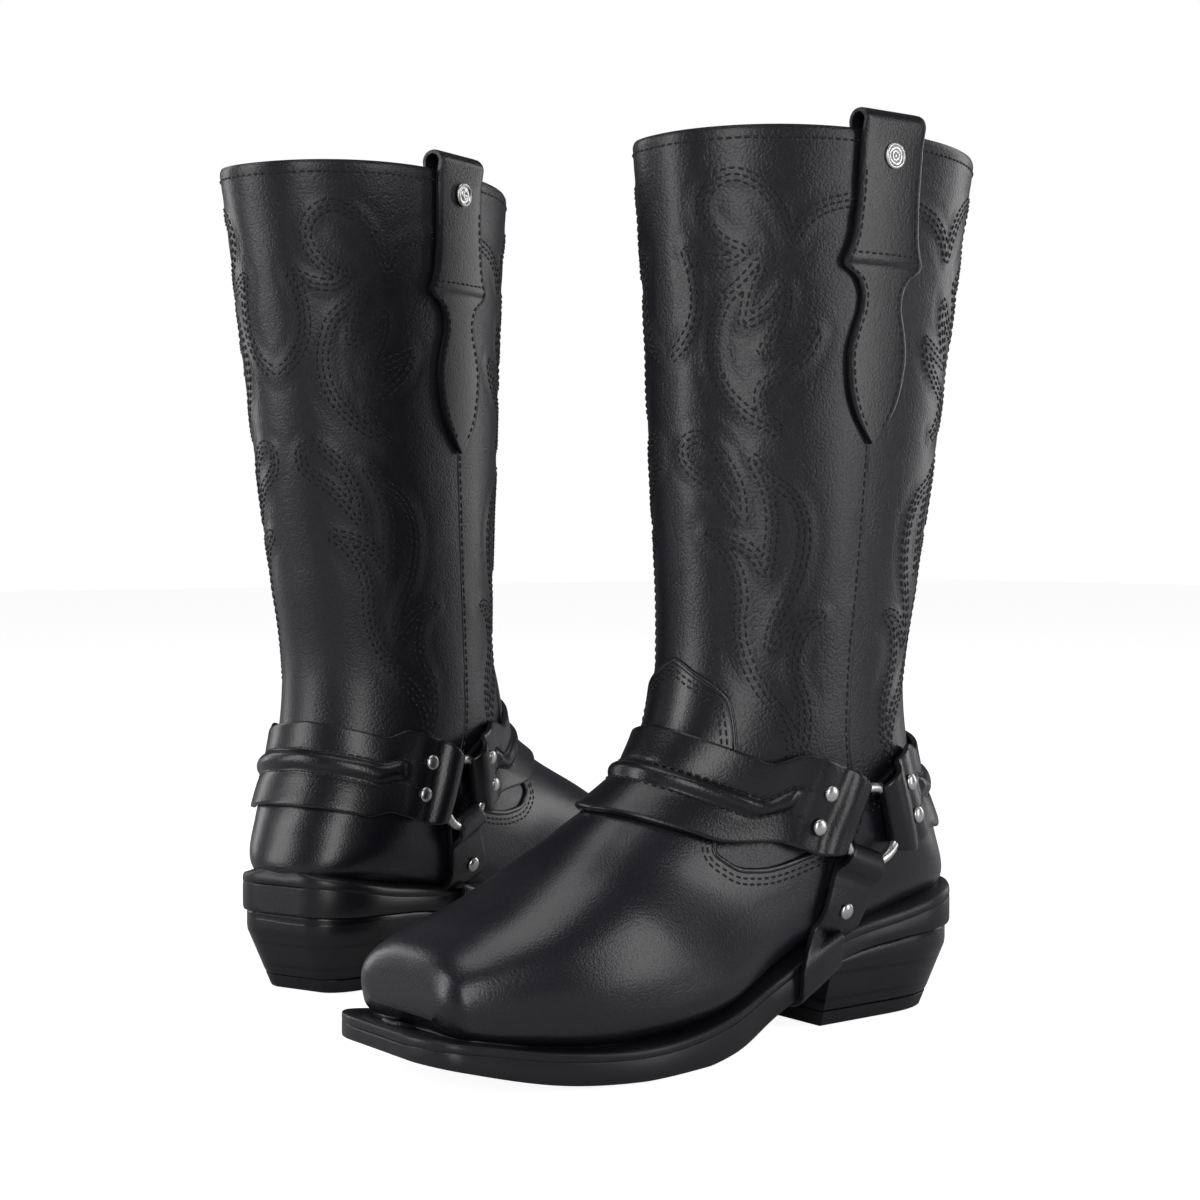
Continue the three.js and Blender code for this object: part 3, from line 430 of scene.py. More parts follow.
def tube(path, normal, radius, sides=8, closed=False, flat=1.0):
    """A round cord laid along a path. flat squashes it along the normal."""
    path, normal = np.asarray(path, float), np.asarray(normal, float)
    if closed:
        tangent = np.roll(path, -1, 0) - np.roll(path, 1, 0)
    else:
        tangent = np.gradient(path, axis=0)
    tangent /= np.linalg.norm(tangent, axis=1, keepdims=True) + 1e-12
    side = np.cross(tangent, normal)
    side /= np.linalg.norm(side, axis=1, keepdims=True) + 1e-12
    up = np.cross(side, tangent)
    a = np.arange(sides) / sides * 2 * math.pi
    radius = np.broadcast_to(np.asarray(radius, float), (len(path),))[:, None, None]
    ring = np.cos(a)[None, :, None] * side[:, None, :] + flat * np.sin(a)[None, :, None] * up[:, None, :]
    points = path[:, None, :] + radius * ring
    faces = quads(len(path), sides, close_rows=closed, close_columns=True)
    if closed:
        return points.reshape(-1, 3), faces
    ends = points.reshape(-1, 3)
    count = len(ends)
    ends = np.concatenate([ends, path[:1], path[-1:]])
    caps = []
    for j in range(sides):
        k = (j + 1) % sides
        last = (len(path) - 1) * sides
        caps.append([count, j, k, k])
        caps.append([count + 1, last + k, last + j, last + j])
    return ends, np.concatenate([faces, np.array(caps)])


def resample(path, step):
    """Points along a polyline at an even distance, with the path's other columns carried along."""
    path = np.asarray(path, float)
    length = np.concatenate([[0], np.cumsum(np.linalg.norm(np.diff(path[:, :3], axis=0), axis=1))])
    count = max(2, int(round(length[-1] / step)) + 1)
    at = np.linspace(0, length[-1], count)
    return np.stack([np.interp(at, length, path[:, i]) for i in range(path.shape[1])], 1)


def make_piece(name, boot, soup, materials, body=None, replaces=()):
    """A mesh object on a boot, from points in the boot's own millimetres."""
    points = boot.to_frame(np.concatenate(soup.points))
    widest = max(f.shape[1] for f in soup.faces)
    faces = np.concatenate([f if f.shape[1] == widest else np.column_stack([f, f[:, -1:]]) for f in soup.faces])
    if boot.mirrored:
        faces = faces[:, ::-1]
    mesh = bpy.data.meshes.new(name)
    mesh.from_pydata(points.tolist(), [], [list(dict.fromkeys(f)) for f in faces.tolist()])
    for material in materials:
        mesh.materials.append(material)
    mesh.polygons.foreach_set("material_index", np.concatenate(soup.slots))
    mesh.polygons.foreach_set("use_smooth", np.ones(len(mesh.polygons), bool))
    mesh.set_sharp_from_angle(angle=math.radians(50))
    if mesh.validate():
        raise RuntimeError(f"{name} had faces that Blender dropped")
    mesh.update()
    piece = bpy.data.objects.new(name, mesh)
    bpy.context.scene.collection.objects.link(piece)
    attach(piece, body or boot.body())
    if replaces:
        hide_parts(*replaces)
    return piece


def place_on_both(parts):
    """Each part on each boot: its name, mesh, finishes, the node it stands for and its slot, which is not used."""
    looks = finishes()
    for name, soup, kinds, node_name, slot in parts:
        for boot in BOOTS:
            replaces = [f"{boot.name}_{node_name}"] if node_name else []
            make_piece(f"{boot.name}_{name}", boot, soup, [looks[kind] for kind in kinds], replaces=replaces)


# ---------------------------------------------------------------- finishes
def new_group(name, inputs, outputs):
    """An empty shader group with its sockets, and its two end nodes."""
    group = bpy.data.node_groups.new(name, "ShaderNodeTree")
    for socket, kind, default in inputs:
        made = group.interface.new_socket(socket, in_out="INPUT", socket_type=kind)
        made.default_value = default
    for socket, kind in outputs:
        group.interface.new_socket(socket, in_out="OUTPUT", socket_type=kind)
    return group, group.nodes.new("NodeGroupInput"), group.nodes.new("NodeGroupOutput")


def node(tree, kind, links=(), **values):
    """A node with its inputs set by name, linked or plain."""
    made = tree.nodes.new(kind)
    for key, value in values.items():
        setattr(made, key, value)
    for socket, value in dict(links).items():
        target = made.inputs[socket]
        if isinstance(value, bpy.types.NodeSocket):
            tree.links.new(value, target)
        else:
            target.default_value = value
    return made


def mixed(tree, factor, first, second):
    return node(tree, "ShaderNodeMix", {0: factor, 6: first, 7: second}, data_type="RGBA").outputs[2]


def ramp(tree, factor, low, high, to_low=0.0, to_high=1.0):
    return node(
        tree,
        "ShaderNodeMapRange",
        {"Value": factor, "From Min": low, "From Max": high, "To Min": to_low, "To Max": to_high},
        interpolation_type="SMOOTHSTEP",
    ).outputs["Result"]


def object_place(tree):
    return node(tree, "ShaderNodeTexCoord").outputs["Object"]


def reckon(tree, operation, *values):
    """The result of one arithmetic node."""
    return node(tree, "ShaderNodeMath", dict(enumerate(values)), operation=operation).outputs[0]


def noise_fac(tree, vector, scale, detail, **more):
    links = {"Vector": vector, "Scale": scale, "Detail": detail, **more}
    return node(tree, "ShaderNodeTexNoise", links).outputs["Fac"]


def grain_group():
    """Leather grain: pebbles with fine pores between, as a height and a mask of the valleys."""
    group, ins, outs = new_group(
        "Leather Grain",
        [("Pebbles per metre", "NodeSocketFloat", 1100.0), ("Creasing", "NodeSocketFloat", 0.3)],
        [("Height", "NodeSocketFloat"), ("Valley", "NodeSocketFloat")],
    )
    place_of = object_place(group)
    wander = node(group, "ShaderNodeTexNoise", {"Vector": place_of, "Scale": 260.0, "Detail": 2.0})
    bent = node(
        group, "ShaderNodeVectorMath", {0: wander.outputs["Color"], 1: (0.0012, 0.0012, 0.0012)}, operation="MULTIPLY"
    )
    spot = node(group, "ShaderNodeVectorMath", {0: place_of, 1: bent.outputs[0]}, operation="ADD").outputs[0]
    pebbles = node(
        group, "ShaderNodeTexVoronoi", {"Vector": spot, "Scale": ins.outputs["Pebbles per metre"]}, feature="SMOOTH_F1"
    )
    pores = noise_fac(group, place_of, 3200.0, 3.0, Roughness=0.6)
    long_way = node(group, "ShaderNodeMapping", {"Vector": place_of, "Scale": (1.0, 1.0, 2.6)})
    creases = noise_fac(group, long_way.outputs[0], 150.0, 6.0, Roughness=0.62, Distortion=0.9)
    valley = ramp(group, pebbles.outputs["Distance"], 0.25, 0.8)
    lifted = reckon(group, "MULTIPLY", valley, -0.55)
    fine = reckon(group, "MULTIPLY_ADD", pores, 0.25, lifted)
    lines = reckon(group, "MULTIPLY", creases, ins.outputs["Creasing"])
    height = reckon(group, "ADD", fine, lines)
    group.links.new(height, outs.inputs["Height"])
    group.links.new(valley, outs.inputs["Valley"])
    return group


def wear_group():
    """Handling wear: a colour that pales and a gloss that dulls in soft patches."""
    group, ins, outs = new_group(
        "Handling Wear",
        [
            ("Colour", "NodeSocketColor", (0.02, 0.02, 0.02, 1)),
            ("Worn colour", "NodeSocketColor", (0.06, 0.06, 0.065, 1)),
            ("Amount", "NodeSocketFloat", 0.3),
            ("Patches per metre", "NodeSocketFloat", 14.0),
            ("Gloss", "NodeSocketFloat", 0.35),
            ("Dulled", "NodeSocketFloat", 0.12),
        ],
        [("Colour", "NodeSocketColor"), ("Roughness", "NodeSocketFloat")],
    )
    place_of = object_place(group)
    broad = noise_fac(group, place_of, ins.outputs["Patches per metre"], 4.0, Roughness=0.55)
    mask = ramp(group, broad, 0.38, 0.72)
    speck = noise_fac(group, place_of, 900.0, 2.0)
    fleck = ramp(group, speck, 0.45, 0.75, 0.6, 1.0)
    both = reckon(group, "MULTIPLY", mask, fleck)
    share = reckon(group, "MULTIPLY", both, ins.outputs["Amount"])
    colour = mixed(group, share, ins.outputs["Colour"], ins.outputs["Worn colour"])
    rough = reckon(group, "MULTIPLY_ADD", both, ins.outputs["Dulled"], ins.outputs["Gloss"])
    group.links.new(colour, outs.inputs["Colour"])
    group.links.new(rough, outs.inputs["Roughness"])
    return group


def placed(tree, group, **values):
    """A shader group used in a tree, with its plain inputs set. _ stands for a space in their names."""
    made = tree.nodes.new("ShaderNodeGroup")
    made.node_tree = group
    for socket, value in values.items():
        made.inputs[socket.replace("_", " ")].default_value = value
    return made


def shader(name):
    """A new material's tree and its Principled shader."""
    material = bpy.data.materials.new(name)
    material.use_nodes = True
    principled = material.node_tree.nodes["Principled BSDF"]
    return material, material.node_tree, principled


def rgba(colour, gain=1.0):
    return tuple(c * gain for c in colour[:3]) + (1.0,)


def bumped(tree, principled, height, distance, strength):
    bump = node(tree, "ShaderNodeBump", {"Height": height, "Distance": distance, "Strength": strength})
    tree.links.new(bump.outputs["Normal"], principled.inputs["Normal"])


def leather_finish(name, groups, colour, gloss, pebbles, creasing, depth, wear, coat):
    material, tree, principled = shader(name)
    worn = placed(
        tree, groups["wear"], Colour=rgba(colour), Worn_colour=rgba(colour, 2.6), Amount=wear, Gloss=gloss, Dulled=0.1
    )
    grain = placed(tree, groups["grain"], Pebbles_per_metre=pebbles, Creasing=creasing)
    shade = mixed(tree, grain.outputs["Valley"], worn.outputs["Colour"], rgba(colour, 0.72))
    tree.links.new(shade, principled.inputs["Base Color"])
    tree.links.new(worn.outputs["Roughness"], principled.inputs["Roughness"])
    principled.inputs["Specular IOR Level"].default_value = 0.55
    principled.inputs["Coat Weight"].default_value = coat
    principled.inputs["Coat Roughness"].default_value = 0.22
    bumped(tree, principled, grain.outputs["Height"], depth * MM, 0.8)
    return material


def thread_finish(colour):
    material, tree, principled = shader("Waxed Thread")
    place_of = object_place(tree)
    twist = node(
        tree, "ShaderNodeTexWave", {"Vector": place_of, "Scale": 700.0, "Distortion": 2.0}, bands_direction="DIAGONAL"
    )
    tree.links.new(mixed(tree, twist.outputs["Fac"], rgba(colour), rgba(colour, 2.4)), principled.inputs["Base Color"])
    principled.inputs["Roughness"].default_value = 0.5
    bumped(tree, principled, twist.outputs["Fac"], 0.1 * MM, 0.6)
    return material


def rubber_finish(name, groups, colour, gloss, layers=0.0):
    """Moulded sole rubber. layers adds the faint lines of a stacked heel."""
    material, tree, principled = shader(name)
    worn = placed(
        tree, groups["wear"],
        Colour=rgba(colour), Worn_colour=rgba(colour, 3.0), Amount=0.35,
        Patches_per_metre=24.0, Gloss=gloss, Dulled=0.14,
    )  # fmt: skip
    place_of = object_place(tree)
    tooth = noise_fac(tree, place_of, 1400.0, 4.0)
    height = tooth
    colour_out = worn.outputs["Colour"]
    if layers:
        wave = {"Vector": place_of, "Scale": layers, "Distortion": 0.6, "Detail": 2.0}
        lines = node(tree, "ShaderNodeTexWave", wave, bands_direction="Z").outputs["Fac"]
        thin = ramp(tree, lines, 0.0, 0.14, 1.0, 0.0)
        colour_out = mixed(tree, thin, colour_out, rgba(colour, 0.4))
        height = reckon(tree, "MULTIPLY_ADD", thin, -1.2, tooth)
    tree.links.new(colour_out, principled.inputs["Base Color"])
    tree.links.new(worn.outputs["Roughness"], principled.inputs["Roughness"])
    bumped(tree, principled, height, 0.12 * MM, 0.5)
    return material


def metal_finish(name, groups, colour, gloss, brushed):
    material, tree, principled = shader(name)
    worn = placed(
        tree, groups["wear"],
        Colour=rgba(colour), Worn_colour=rgba(colour, 0.72), Amount=0.5,
        Patches_per_metre=180.0, Gloss=gloss, Dulled=0.1,
    )  # fmt: skip
    place_of = object_place(tree)
    streak = node(tree, "ShaderNodeMapping", {"Vector": place_of, "Scale": (1.0, 1.0, brushed)})
    marks = noise_fac(tree, streak.outputs[0], 1500.0, 3.0)
    tree.links.new(worn.outputs["Colour"], principled.inputs["Base Color"])
    tree.links.new(worn.outputs["Roughness"], principled.inputs["Roughness"])
    principled.inputs["Metallic"].default_value = 1.0
    bumped(tree, principled, marks, 0.03 * MM, 0.35)
    return material


def cloth_finish(name, groups, colour, threads):
    """The sock liner's and the insole board's close nap."""
    material, tree, principled = shader(name)
    place_of = object_place(tree)
    nap = noise_fac(tree, place_of, threads, 5.0, Roughness=0.7)
    worn = placed(
        tree, groups["wear"], Colour=rgba(colour), Worn_colour=rgba(colour, 1.9), Amount=0.5, Gloss=0.72, Dulled=0.15
    )
    tree.links.new(mixed(tree, nap, worn.outputs["Colour"], rgba(colour, 0.6)), principled.inputs["Base Color"])
    tree.links.new(worn.outputs["Roughness"], principled.inputs["Roughness"])
    principled.inputs["Sheen Weight"].default_value = 0.25
    bumped(tree, principled, nap, 0.25 * MM, 0.6)
    return material


def finishes():
    """Every finish, made once and found again by name."""
    made = bpy.context.scene.get("boot_finishes")
    if made:
        return {key: bpy.data.materials[name] for key, name in made.items()}
    colours = settings().finishes
    groups = {"grain": grain_group(), "wear": wear_group()}
    materials = {
        "leather": leather_finish("Shaft Leather", groups, colours.leather, 0.36, 1150.0, 0.5, 0.16, 0.45, 0.12),
        "foot": leather_finish("Foot Leather", groups, colours.leather, 0.3, 1400.0, 0.22, 0.09, 0.4, 0.2),
        "strap": leather_finish("Strap Leather", groups, colours.strap, 0.31, 1250.0, 0.25, 0.1, 0.35, 0.15),
        "lining": leather_finish("Lining Leather", groups, colours.lining, 0.55, 1500.0, 0.3, 0.1, 0.4, 0.0),
        "thread": thread_finish(colours.thread),
        "rubber": rubber_finish("Sole Rubber", groups, colours.rubber, 0.34),
        "heel": rubber_finish("Heel Stack", groups, colours.rubber, 0.26, layers=32.0),
        "nickel": metal_finish("Nickel Plate", groups, colours.nickel, 0.27, 1.0),
        "steel": metal_finish("Shank Steel", groups, (0.5, 0.5, 0.5), 0.35, 0.1),
        "board": cloth_finish("Insole Board", groups, (0.36, 0.26, 0.16), 900.0),
        "sock": cloth_finish("Sock Liner", groups, (0.05, 0.049, 0.05), 2200.0),
    }
    bpy.context.scene["boot_finishes"] = {key: material.name for key, material in materials.items()}
    return materials


# ---------------------------------------------------------------- the shafts' stitched pattern
# One half panel: distance round the shaft from the panel's centre line, and height, in
# millimetres. Both halves of both panels of both boots repeat it.
COLLAR_LINE = [
    (92, 305), (76, 302), (63, 298), (56, 293), (51, 286), (48, 295), (44, 302), (38, 307), (31, 309),
    (25, 307), (21, 303), (19, 297), (21, 291), (25, 286), (33, 282), (28, 279), (22, 279), (12, 283),
    (14, 276), (15, 267), (14, 260), (9, 251), (0, 244),
]  # fmt: skip
HIGH_FLAME = [
    (39, 278), (31, 270), (26, 266), (22, 258), (20, 249), (21, 240), (25, 232), (32, 225), (43, 219),
    (37, 227), (37, 233), (45, 239), (54, 246), (59, 254), (47, 249), (38, 246), (43, 254), (47, 262),
    (48, 269), (40, 261), (32, 257), (34, 266), (39, 278),
]  # fmt: skip
TEARDROP = [
    (28, 187), (22, 195), (18, 200), (12, 204), (7, 209), (7, 214), (13, 217), (19, 213), (24, 206),
    (27, 199), (28, 187),
]  # fmt: skip
LOW_FLAME = [
    (33, 209), (39, 202), (46, 197), (50, 190), (51, 182), (50, 175), (48, 168), (44, 160), (40, 153),
    (38, 147), (37, 141), (43, 147), (49, 151), (57, 153), (50, 148), (47, 142), (46, 135), (48, 129),
    (52, 122), (54, 115), (55, 108), (54, 100), (50, 110), (44, 118), (37, 125), (31, 133), (27, 142),
    (26, 151), (27, 160), (25, 170), (21, 177), (15, 182), (24, 180), (31, 176), (36, 168), (38, 179),
    (39, 187), (38, 197), (33, 209),
]  # fmt: skip
CORNERS = {"collar": [4, 14, 17], "high": [0, 8, 13, 15, 18, 20], "tear": [0], "low": [0, 10, 13, 21, 31, 34]}
PATTERN = [("collar", COLLAR_LINE), ("high", HIGH_FLAME), ("tear", TEARDROP), ("low", LOW_FLAME)]


def rounded(points, corners, closed):
    """A smooth line through the points that keeps its sharp corners."""
    points = np.array(points, float)
    stops = sorted(set([0, len(points) - 1] + list(corners)))
    runs = []
    for a, b in zip(stops[:-1], stops[1:]):
        part = points[a : b + 1]
        keys = np.concatenate([[0], np.cumsum(np.linalg.norm(np.diff(part, axis=0), axis=1))])
        at = np.arange(0, keys[-1], 0.8)
        if len(part) > 2:
            runs.append(Curve(keys, part)(at))
        else:
            runs.append(part[0] + (part[1] - part[0]) * (at / keys[-1])[:, None])
    line = np.concatenate(runs + [points[-1:]])
    if closed:
        line[-1] = line[0]
    return line


def offset_line(line, by, closed):
    """The same line moved sideways. What folds back on itself is dropped."""
    if abs(by) < 1e-6:
        return line
    along = np.gradient(line, axis=0)
    if closed:
        along[0] = along[-1] = line[1] - line[-2]
    along /= np.linalg.norm(along, axis=1, keepdims=True) + 1e-9
    moved = line + by * np.stack([-along[:, 1], along[:, 0]], 1)
    gap = np.linalg.norm(moved[:, None, :] - line[None, :, :], axis=2).min(axis=1)
    return moved[gap > abs(by) * 0.93]


class PanelMap:
    """Turns a panel's flat millimetres into s and turn, by a table of the leg."""

    def __init__(self):
        self.s = np.linspace(-0.02, 0.9, 185)
        self.t = np.linspace(0, 120, 121)
        halves = {}
        for name, start, way in (("front", 0.0, 1.0), ("back", 180.0, -1.0)):
            p = last_point(self.s[:, None], (start + way * self.t)[None, :])
            step = np.linalg.norm(np.diff(p, axis=1), axis=2)
            girth = np.concatenate([np.zeros((len(self.s), 1)), np.cumsum(step, axis=1)], 1)
            halves[name] = (girth, p[..., 2])
        self.halves = halves

    def __call__(self, panel, across, height):
        girth, level = self.halves[panel]
        s = np.interp(-height, [-RIM_Z, -ANKLE_Z, -80], [0.0, 0.68, 0.8])
        turn = np.zeros_like(s)
        for _ in range(8):
            row = np.clip((s - self.s[0]) / (self.s[1] - self.s[0]), 0, len(self.s) - 1.001)
            i = row.astype(int)
            f = (row - i)[:, None]
            g = girth[i] * (1 - f) + girth[i + 1] * f
            turn = np.array([np.interp(a, line, self.t) for a, line in zip(across, g)])
            column = np.clip(turn, 0, 119.999)
            j = column.astype(int)
            h = column - j
            z = level[:, j].T
            z = z * (1 - h)[:, None] + level[:, j + 1].T * h[:, None]
            s = np.array([np.interp(-b, -line, self.s) for b, line in zip(height, z)])
        return s, turn if panel == "front" else 180 - turn


def pattern_rows(middle_only=False):
    """Every stitch row of the pattern as s, turn lists, for all four half panels."""
    sizes = settings().stitch
    table = PanelMap()
    offsets = [(i - (sizes.rows - 1) / 2) * mm(sizes.row_gap) for i in range(sizes.rows)]
    rows = []
    for name, points in PATTERN:
        closed = points[0] == points[-1]
        line = rounded(points, CORNERS[name], closed)
        for by in [0.0] if middle_only else offsets:
            moved = offset_line(line, by, closed)
            breaks = np.where(np.linalg.norm(np.diff(moved, axis=0), axis=1) > 4.5)[0] + 1
            for part in np.split(moved, breaks):
                if len(part) < 4:
                    continue
                part = part[part[:, 0] > -0.4]
                for panel in ("front", "back"):
                    s, turn = table(panel, np.maximum(part[:, 0], 0), part[:, 1])
                    for mirror in (1, -1):
                        rows.append(np.stack([s, mirror * turn], 1))
    return rows


THREAD_SUNK = 0.3  # of the thread's radius


def stitches(soup, path, normal):
    """Stitches along a path of points, each a small pillow of thread half sunk in the leather."""
    sizes = settings().stitch
    pitch, length, radius = mm(sizes.pitch), mm(sizes.length), mm(sizes.thread)
    line = resample(np.concatenate([path, normal], 1), pitch / 8)
    starts = np.arange(4, len(line) - 5, 8)
    if not len(starts):
        return
    centre, up = line[starts, :3], line[starts, 3:]
    along = line[np.minimum(starts + 3, len(line) - 1), :3] - line[starts - 3, :3]
    along /= np.linalg.norm(along, axis=1, keepdims=True) + 1e-9
    up = up / (np.linalg.norm(up, axis=1, keepdims=True) + 1e-9)
    side = np.cross(along, up)
    reach = np.array([-0.5, -0.36, 0, 0.36, 0.5]) * length
    girth = np.array([0.35, 0.85, 1.0, 0.85, 0.35]) * radius
    lift = np.array([-0.45, 0.12, 0.35, 0.12, -0.45]) * radius
    sides = 6
    a = np.arange(sides) / sides * 2 * math.pi
    rise = lift[None, :, None] + girth[None, :, None] * np.sin(a) - THREAD_SUNK * radius
    ring = (
        along[:, None, None, :] * reach[None, :, None, None]
        + side[:, None, None, :] * (girth[None, :, None] * np.cos(a))[..., None]
        + up[:, None, None, :] * rise[..., None]
    )
    points = centre[:, None, None, :] + ring
    body = quads(5, sides, close_columns=True)
    caps = np.array([[0, 5, 4, 3], [0, 3, 2, 1], [24, 25, 26, 27], [24, 27, 28, 29]])
    one = np.concatenate([body, caps])
    faces = (one[None, :, :] + (np.arange(len(centre)) * 5 * sides)[:, None, None]).reshape(-1, 4)
    soup.add(points.reshape(-1, 3), faces)


class Relief:
    """How far a shaft's leather stands above or below the plain last, at any point."""

    def __init__(self):
        sizes = settings()
        self.ripple, self.puff = mm(sizes.leather.ripple), mm(sizes.leather.puff)
        self.gap = mm(sizes.stitch.row_gap) * sizes.stitch.rows / 2 + 0.6
        points = np.concatenate([last_point(row[:, 0], row[:, 1]) for row in pattern_rows(middle_only=True)])
        self.tree = kdtree.KDTree(len(points))
        for i, p in enumerate(points):
            self.tree.insert(p, i)
        self.tree.balance()

    def __call__(self, points):
        out = np.zeros(len(points))
        for i, p in enumerate(points):
            distance = self.tree.find(p)[2]
            if distance < 9:
                near = distance / self.gap
                out[i] += self.puff * (math.exp(-near * near) - 0.55 * math.exp(-((near - 1.55) ** 2) * 3))
            where = Vector(p)
            out[i] += self.ripple * noise.noise(where * 0.021) + 0.35 * self.ripple * noise.noise(where * 0.075)
        return out


RELIEF = []


def relief_out(s, turn):
    """The shaft's outer face over the last at these places, in millimetres."""
    if not RELIEF:
        RELIEF.append(Relief())
    s, turn = np.broadcast_arrays(np.asarray(s, float), np.asarray(turn, float))
    points = last_point(s, turn)
    raised = RELIEF[0](points.reshape(-1, 3)).reshape(s.shape)
    fade = np.clip(s / 0.06, 0, 1) * np.clip((0.74 - s) / 0.06, 0, 1)
    return raised * fade


def sewn_row(soup, s, turn, out, relief=True):
    """A row of stitches at places on the last, over the shaft's relief or over plain leather."""
    extra = relief_out(s, turn) if relief else 0.0
    stitches(soup, skin(s, turn, out + extra), normals(s, turn))


# ---------------------------------------------------------------- lines laid on the leather
def slid(s, turn, toward, distance):
    """Places on the last moved by a distance towards a direction in space, along the surface."""
    s, turn = np.array(s, float), np.array(turn, float)
    for _ in range(2):
        p = last_point(s, turn)
        ds = (last_point(s + 0.002, turn) - p) / 0.002
        dt = (last_point(s, turn + 0.5) - p) / 0.5
        want = toward * distance / 2
        a, b, c = np.sum(ds * ds, 1), np.sum(ds * dt, 1), np.sum(dt * dt, 1)
        u, v = np.sum(ds * want, 1), np.sum(dt * want, 1)
        det = a * c - b * b
        s = s + (c * u - b * v) / det
        turn = turn + (a * v - b * u) / det
    return s, turn


def beside(s, turn, distance):
    """A line on the last moved to its right, seen from outside with the line running away."""
    p, n = last_point(s, turn), normals(s, turn)
    along = np.gradient(p, axis=0)
    across = np.cross(along, n)
    across /= np.linalg.norm(across, axis=1, keepdims=True) + 1e-9
    return slid(s, turn, across, distance)


def joint_line(start, end, count=260):
    """The folded top edge of the vamp or counter, as even places on the last."""
    turn = np.linspace(start, end, count)
    return JOINT(fold_turn(turn)), turn


def folded_edge(soup, s, turn, out, radius):
    """A turned edge: a soft roll of leather."""
    soup.add(*tube(skin(s, turn, out), normals(s, turn), radius, sides=10, flat=0.8))


# ---------------------------------------------------------------- shafts
SHAFT_ROWS = np.concatenate([[0, 0.004, 0.009, 0.016], np.linspace(0.025, 1, 150)])
SIDE_GAP, JOINT_GAP = 0.25, 0.003


def shaft_panel(turns):
    thick = mm(settings().leather.shaft)
    end = JOINT(fold_turn(turns)) - JOINT_GAP
    s = SHAFT_ROWS[:, None] * end[None, :]
    turn = np.broadcast_to(turns[None, :], s.shape)
    rounding = 0.8 * np.clip(1 - s / 0.007, 0, 1) ** 2
    outer = skin(s, turn, relief_out(s, turn) - rounding)
    inner = skin(s, turn, -thick + rounding)
    return shell(outer, inner)


class BOOTS_OT_shafts(bpy.types.Operator):
    """Make the front and back panels of both shafts, with their topline and side seams"""

    bl_idname = "boots.shafts"
    bl_label = "Shafts"

    def execute(self, context):
        parts = []
        for name, start in (("shaft_front", -90), ("shaft_back", 90)):
            turns = np.linspace(start + SIDE_GAP, start + 180 - SIDE_GAP, 181)
            points, faces = shaft_panel(turns)
            soup = Soup().add(points, faces)
            grid = (len(SHAFT_ROWS) - 1) * (len(turns) - 1)
            soup.slots[0][grid : 2 * grid] = 1
            parts.append((f"{name}_leather", soup, ["leather", "lining"], name, "leather"))
        cords, thread = Soup(), Soup()
        for side in (90, 270):
            s = np.linspace(0.002, float(JOINT(90.0)) - 0.012, 240)
            turn = np.full_like(s, side)
            cords.add(*tube(skin(s, turn, -0.25), normals(s, turn), 0.55, sides=8))
            sewn_row(thread, *beside(s[4:], turn[4:], 1.7 if side == 90 else -1.7), 0.02)
        for start, end in ((-84, 84), (96, 264)):
            turn = np.linspace(start, end, 260)
            sewn_row(thread, np.full_like(turn, 0.0155), turn, 0.03)
        parts.append(("side_cords", cords, ["leather"], None, "leather"))
        parts.append(("shaft_seams", thread, ["thread"], None, "leather"))
        place_on_both(parts)
        return {"FINISHED"}


class BOOTS_OT_pattern(bpy.types.Operator):
    """Sew the flame pattern in rows on every panel"""

    bl_idname = "boots.pattern"
    bl_label = "Stitched Pattern"

    def execute(self, context):
        rows = pattern_rows()
        if len(rows) < 20:
            raise RuntimeError("the pattern came out with too few rows")
        thread = Soup()
        for row in rows:
            sewn_row(thread, row[:, 0], row[:, 1], 0.02)
        place_on_both([("flame_stitching", thread, ["thread"], None, "leather")])
        return {"FINISHED"}


# ---------------------------------------------------------------- feet
TOE_RIM = 1.372  # s where the toe starts to round over
TOE_ROUND = 6.0  # how far it reaches past there
TOE_LINE = 19.0  # half the length of the line that it closes on


def toe_closed(s_rows, turn, out, end_s, reach):
    """A skin over the foot that rounds over at the toe and closes on a line across it."""
    grid = skin(s_rows, turn, out)
    rim = skin(np.full(turn.shape[1], end_s), turn[0], out[-1])
    onward = rim - skin(np.full(turn.shape[1], end_s - 0.012), turn[0], out[-1])
    onward /= np.linalg.norm(onward, axis=1, keepdims=True)
    low, high = rim[:, 2].min(), rim[:, 2].max()
    line_z = np.full(len(rim), low + 0.3 * (high - low))
    line = np.stack([rim[:, 0], np.clip(rim[:, 1], -TOE_LINE, TOE_LINE), line_z], 1)
    line[:, 0] = rim[:, 0].mean() + reach + 0.12 * (rim[:, 0] - rim[:, 0].mean())
    rows = []
    for angle in np.radians([6, 13, 20, 28, 36, 44, 52, 60, 68, 75, 81, 86, 90]):
        inward, forward = 1 - math.cos(angle) ** 0.9, math.sin(angle) ** 0.9
        rows.append((rim + onward * reach * forward) * (1 - inward) + line * inward)
    return np.concatenate([grid, np.stack(rows)])


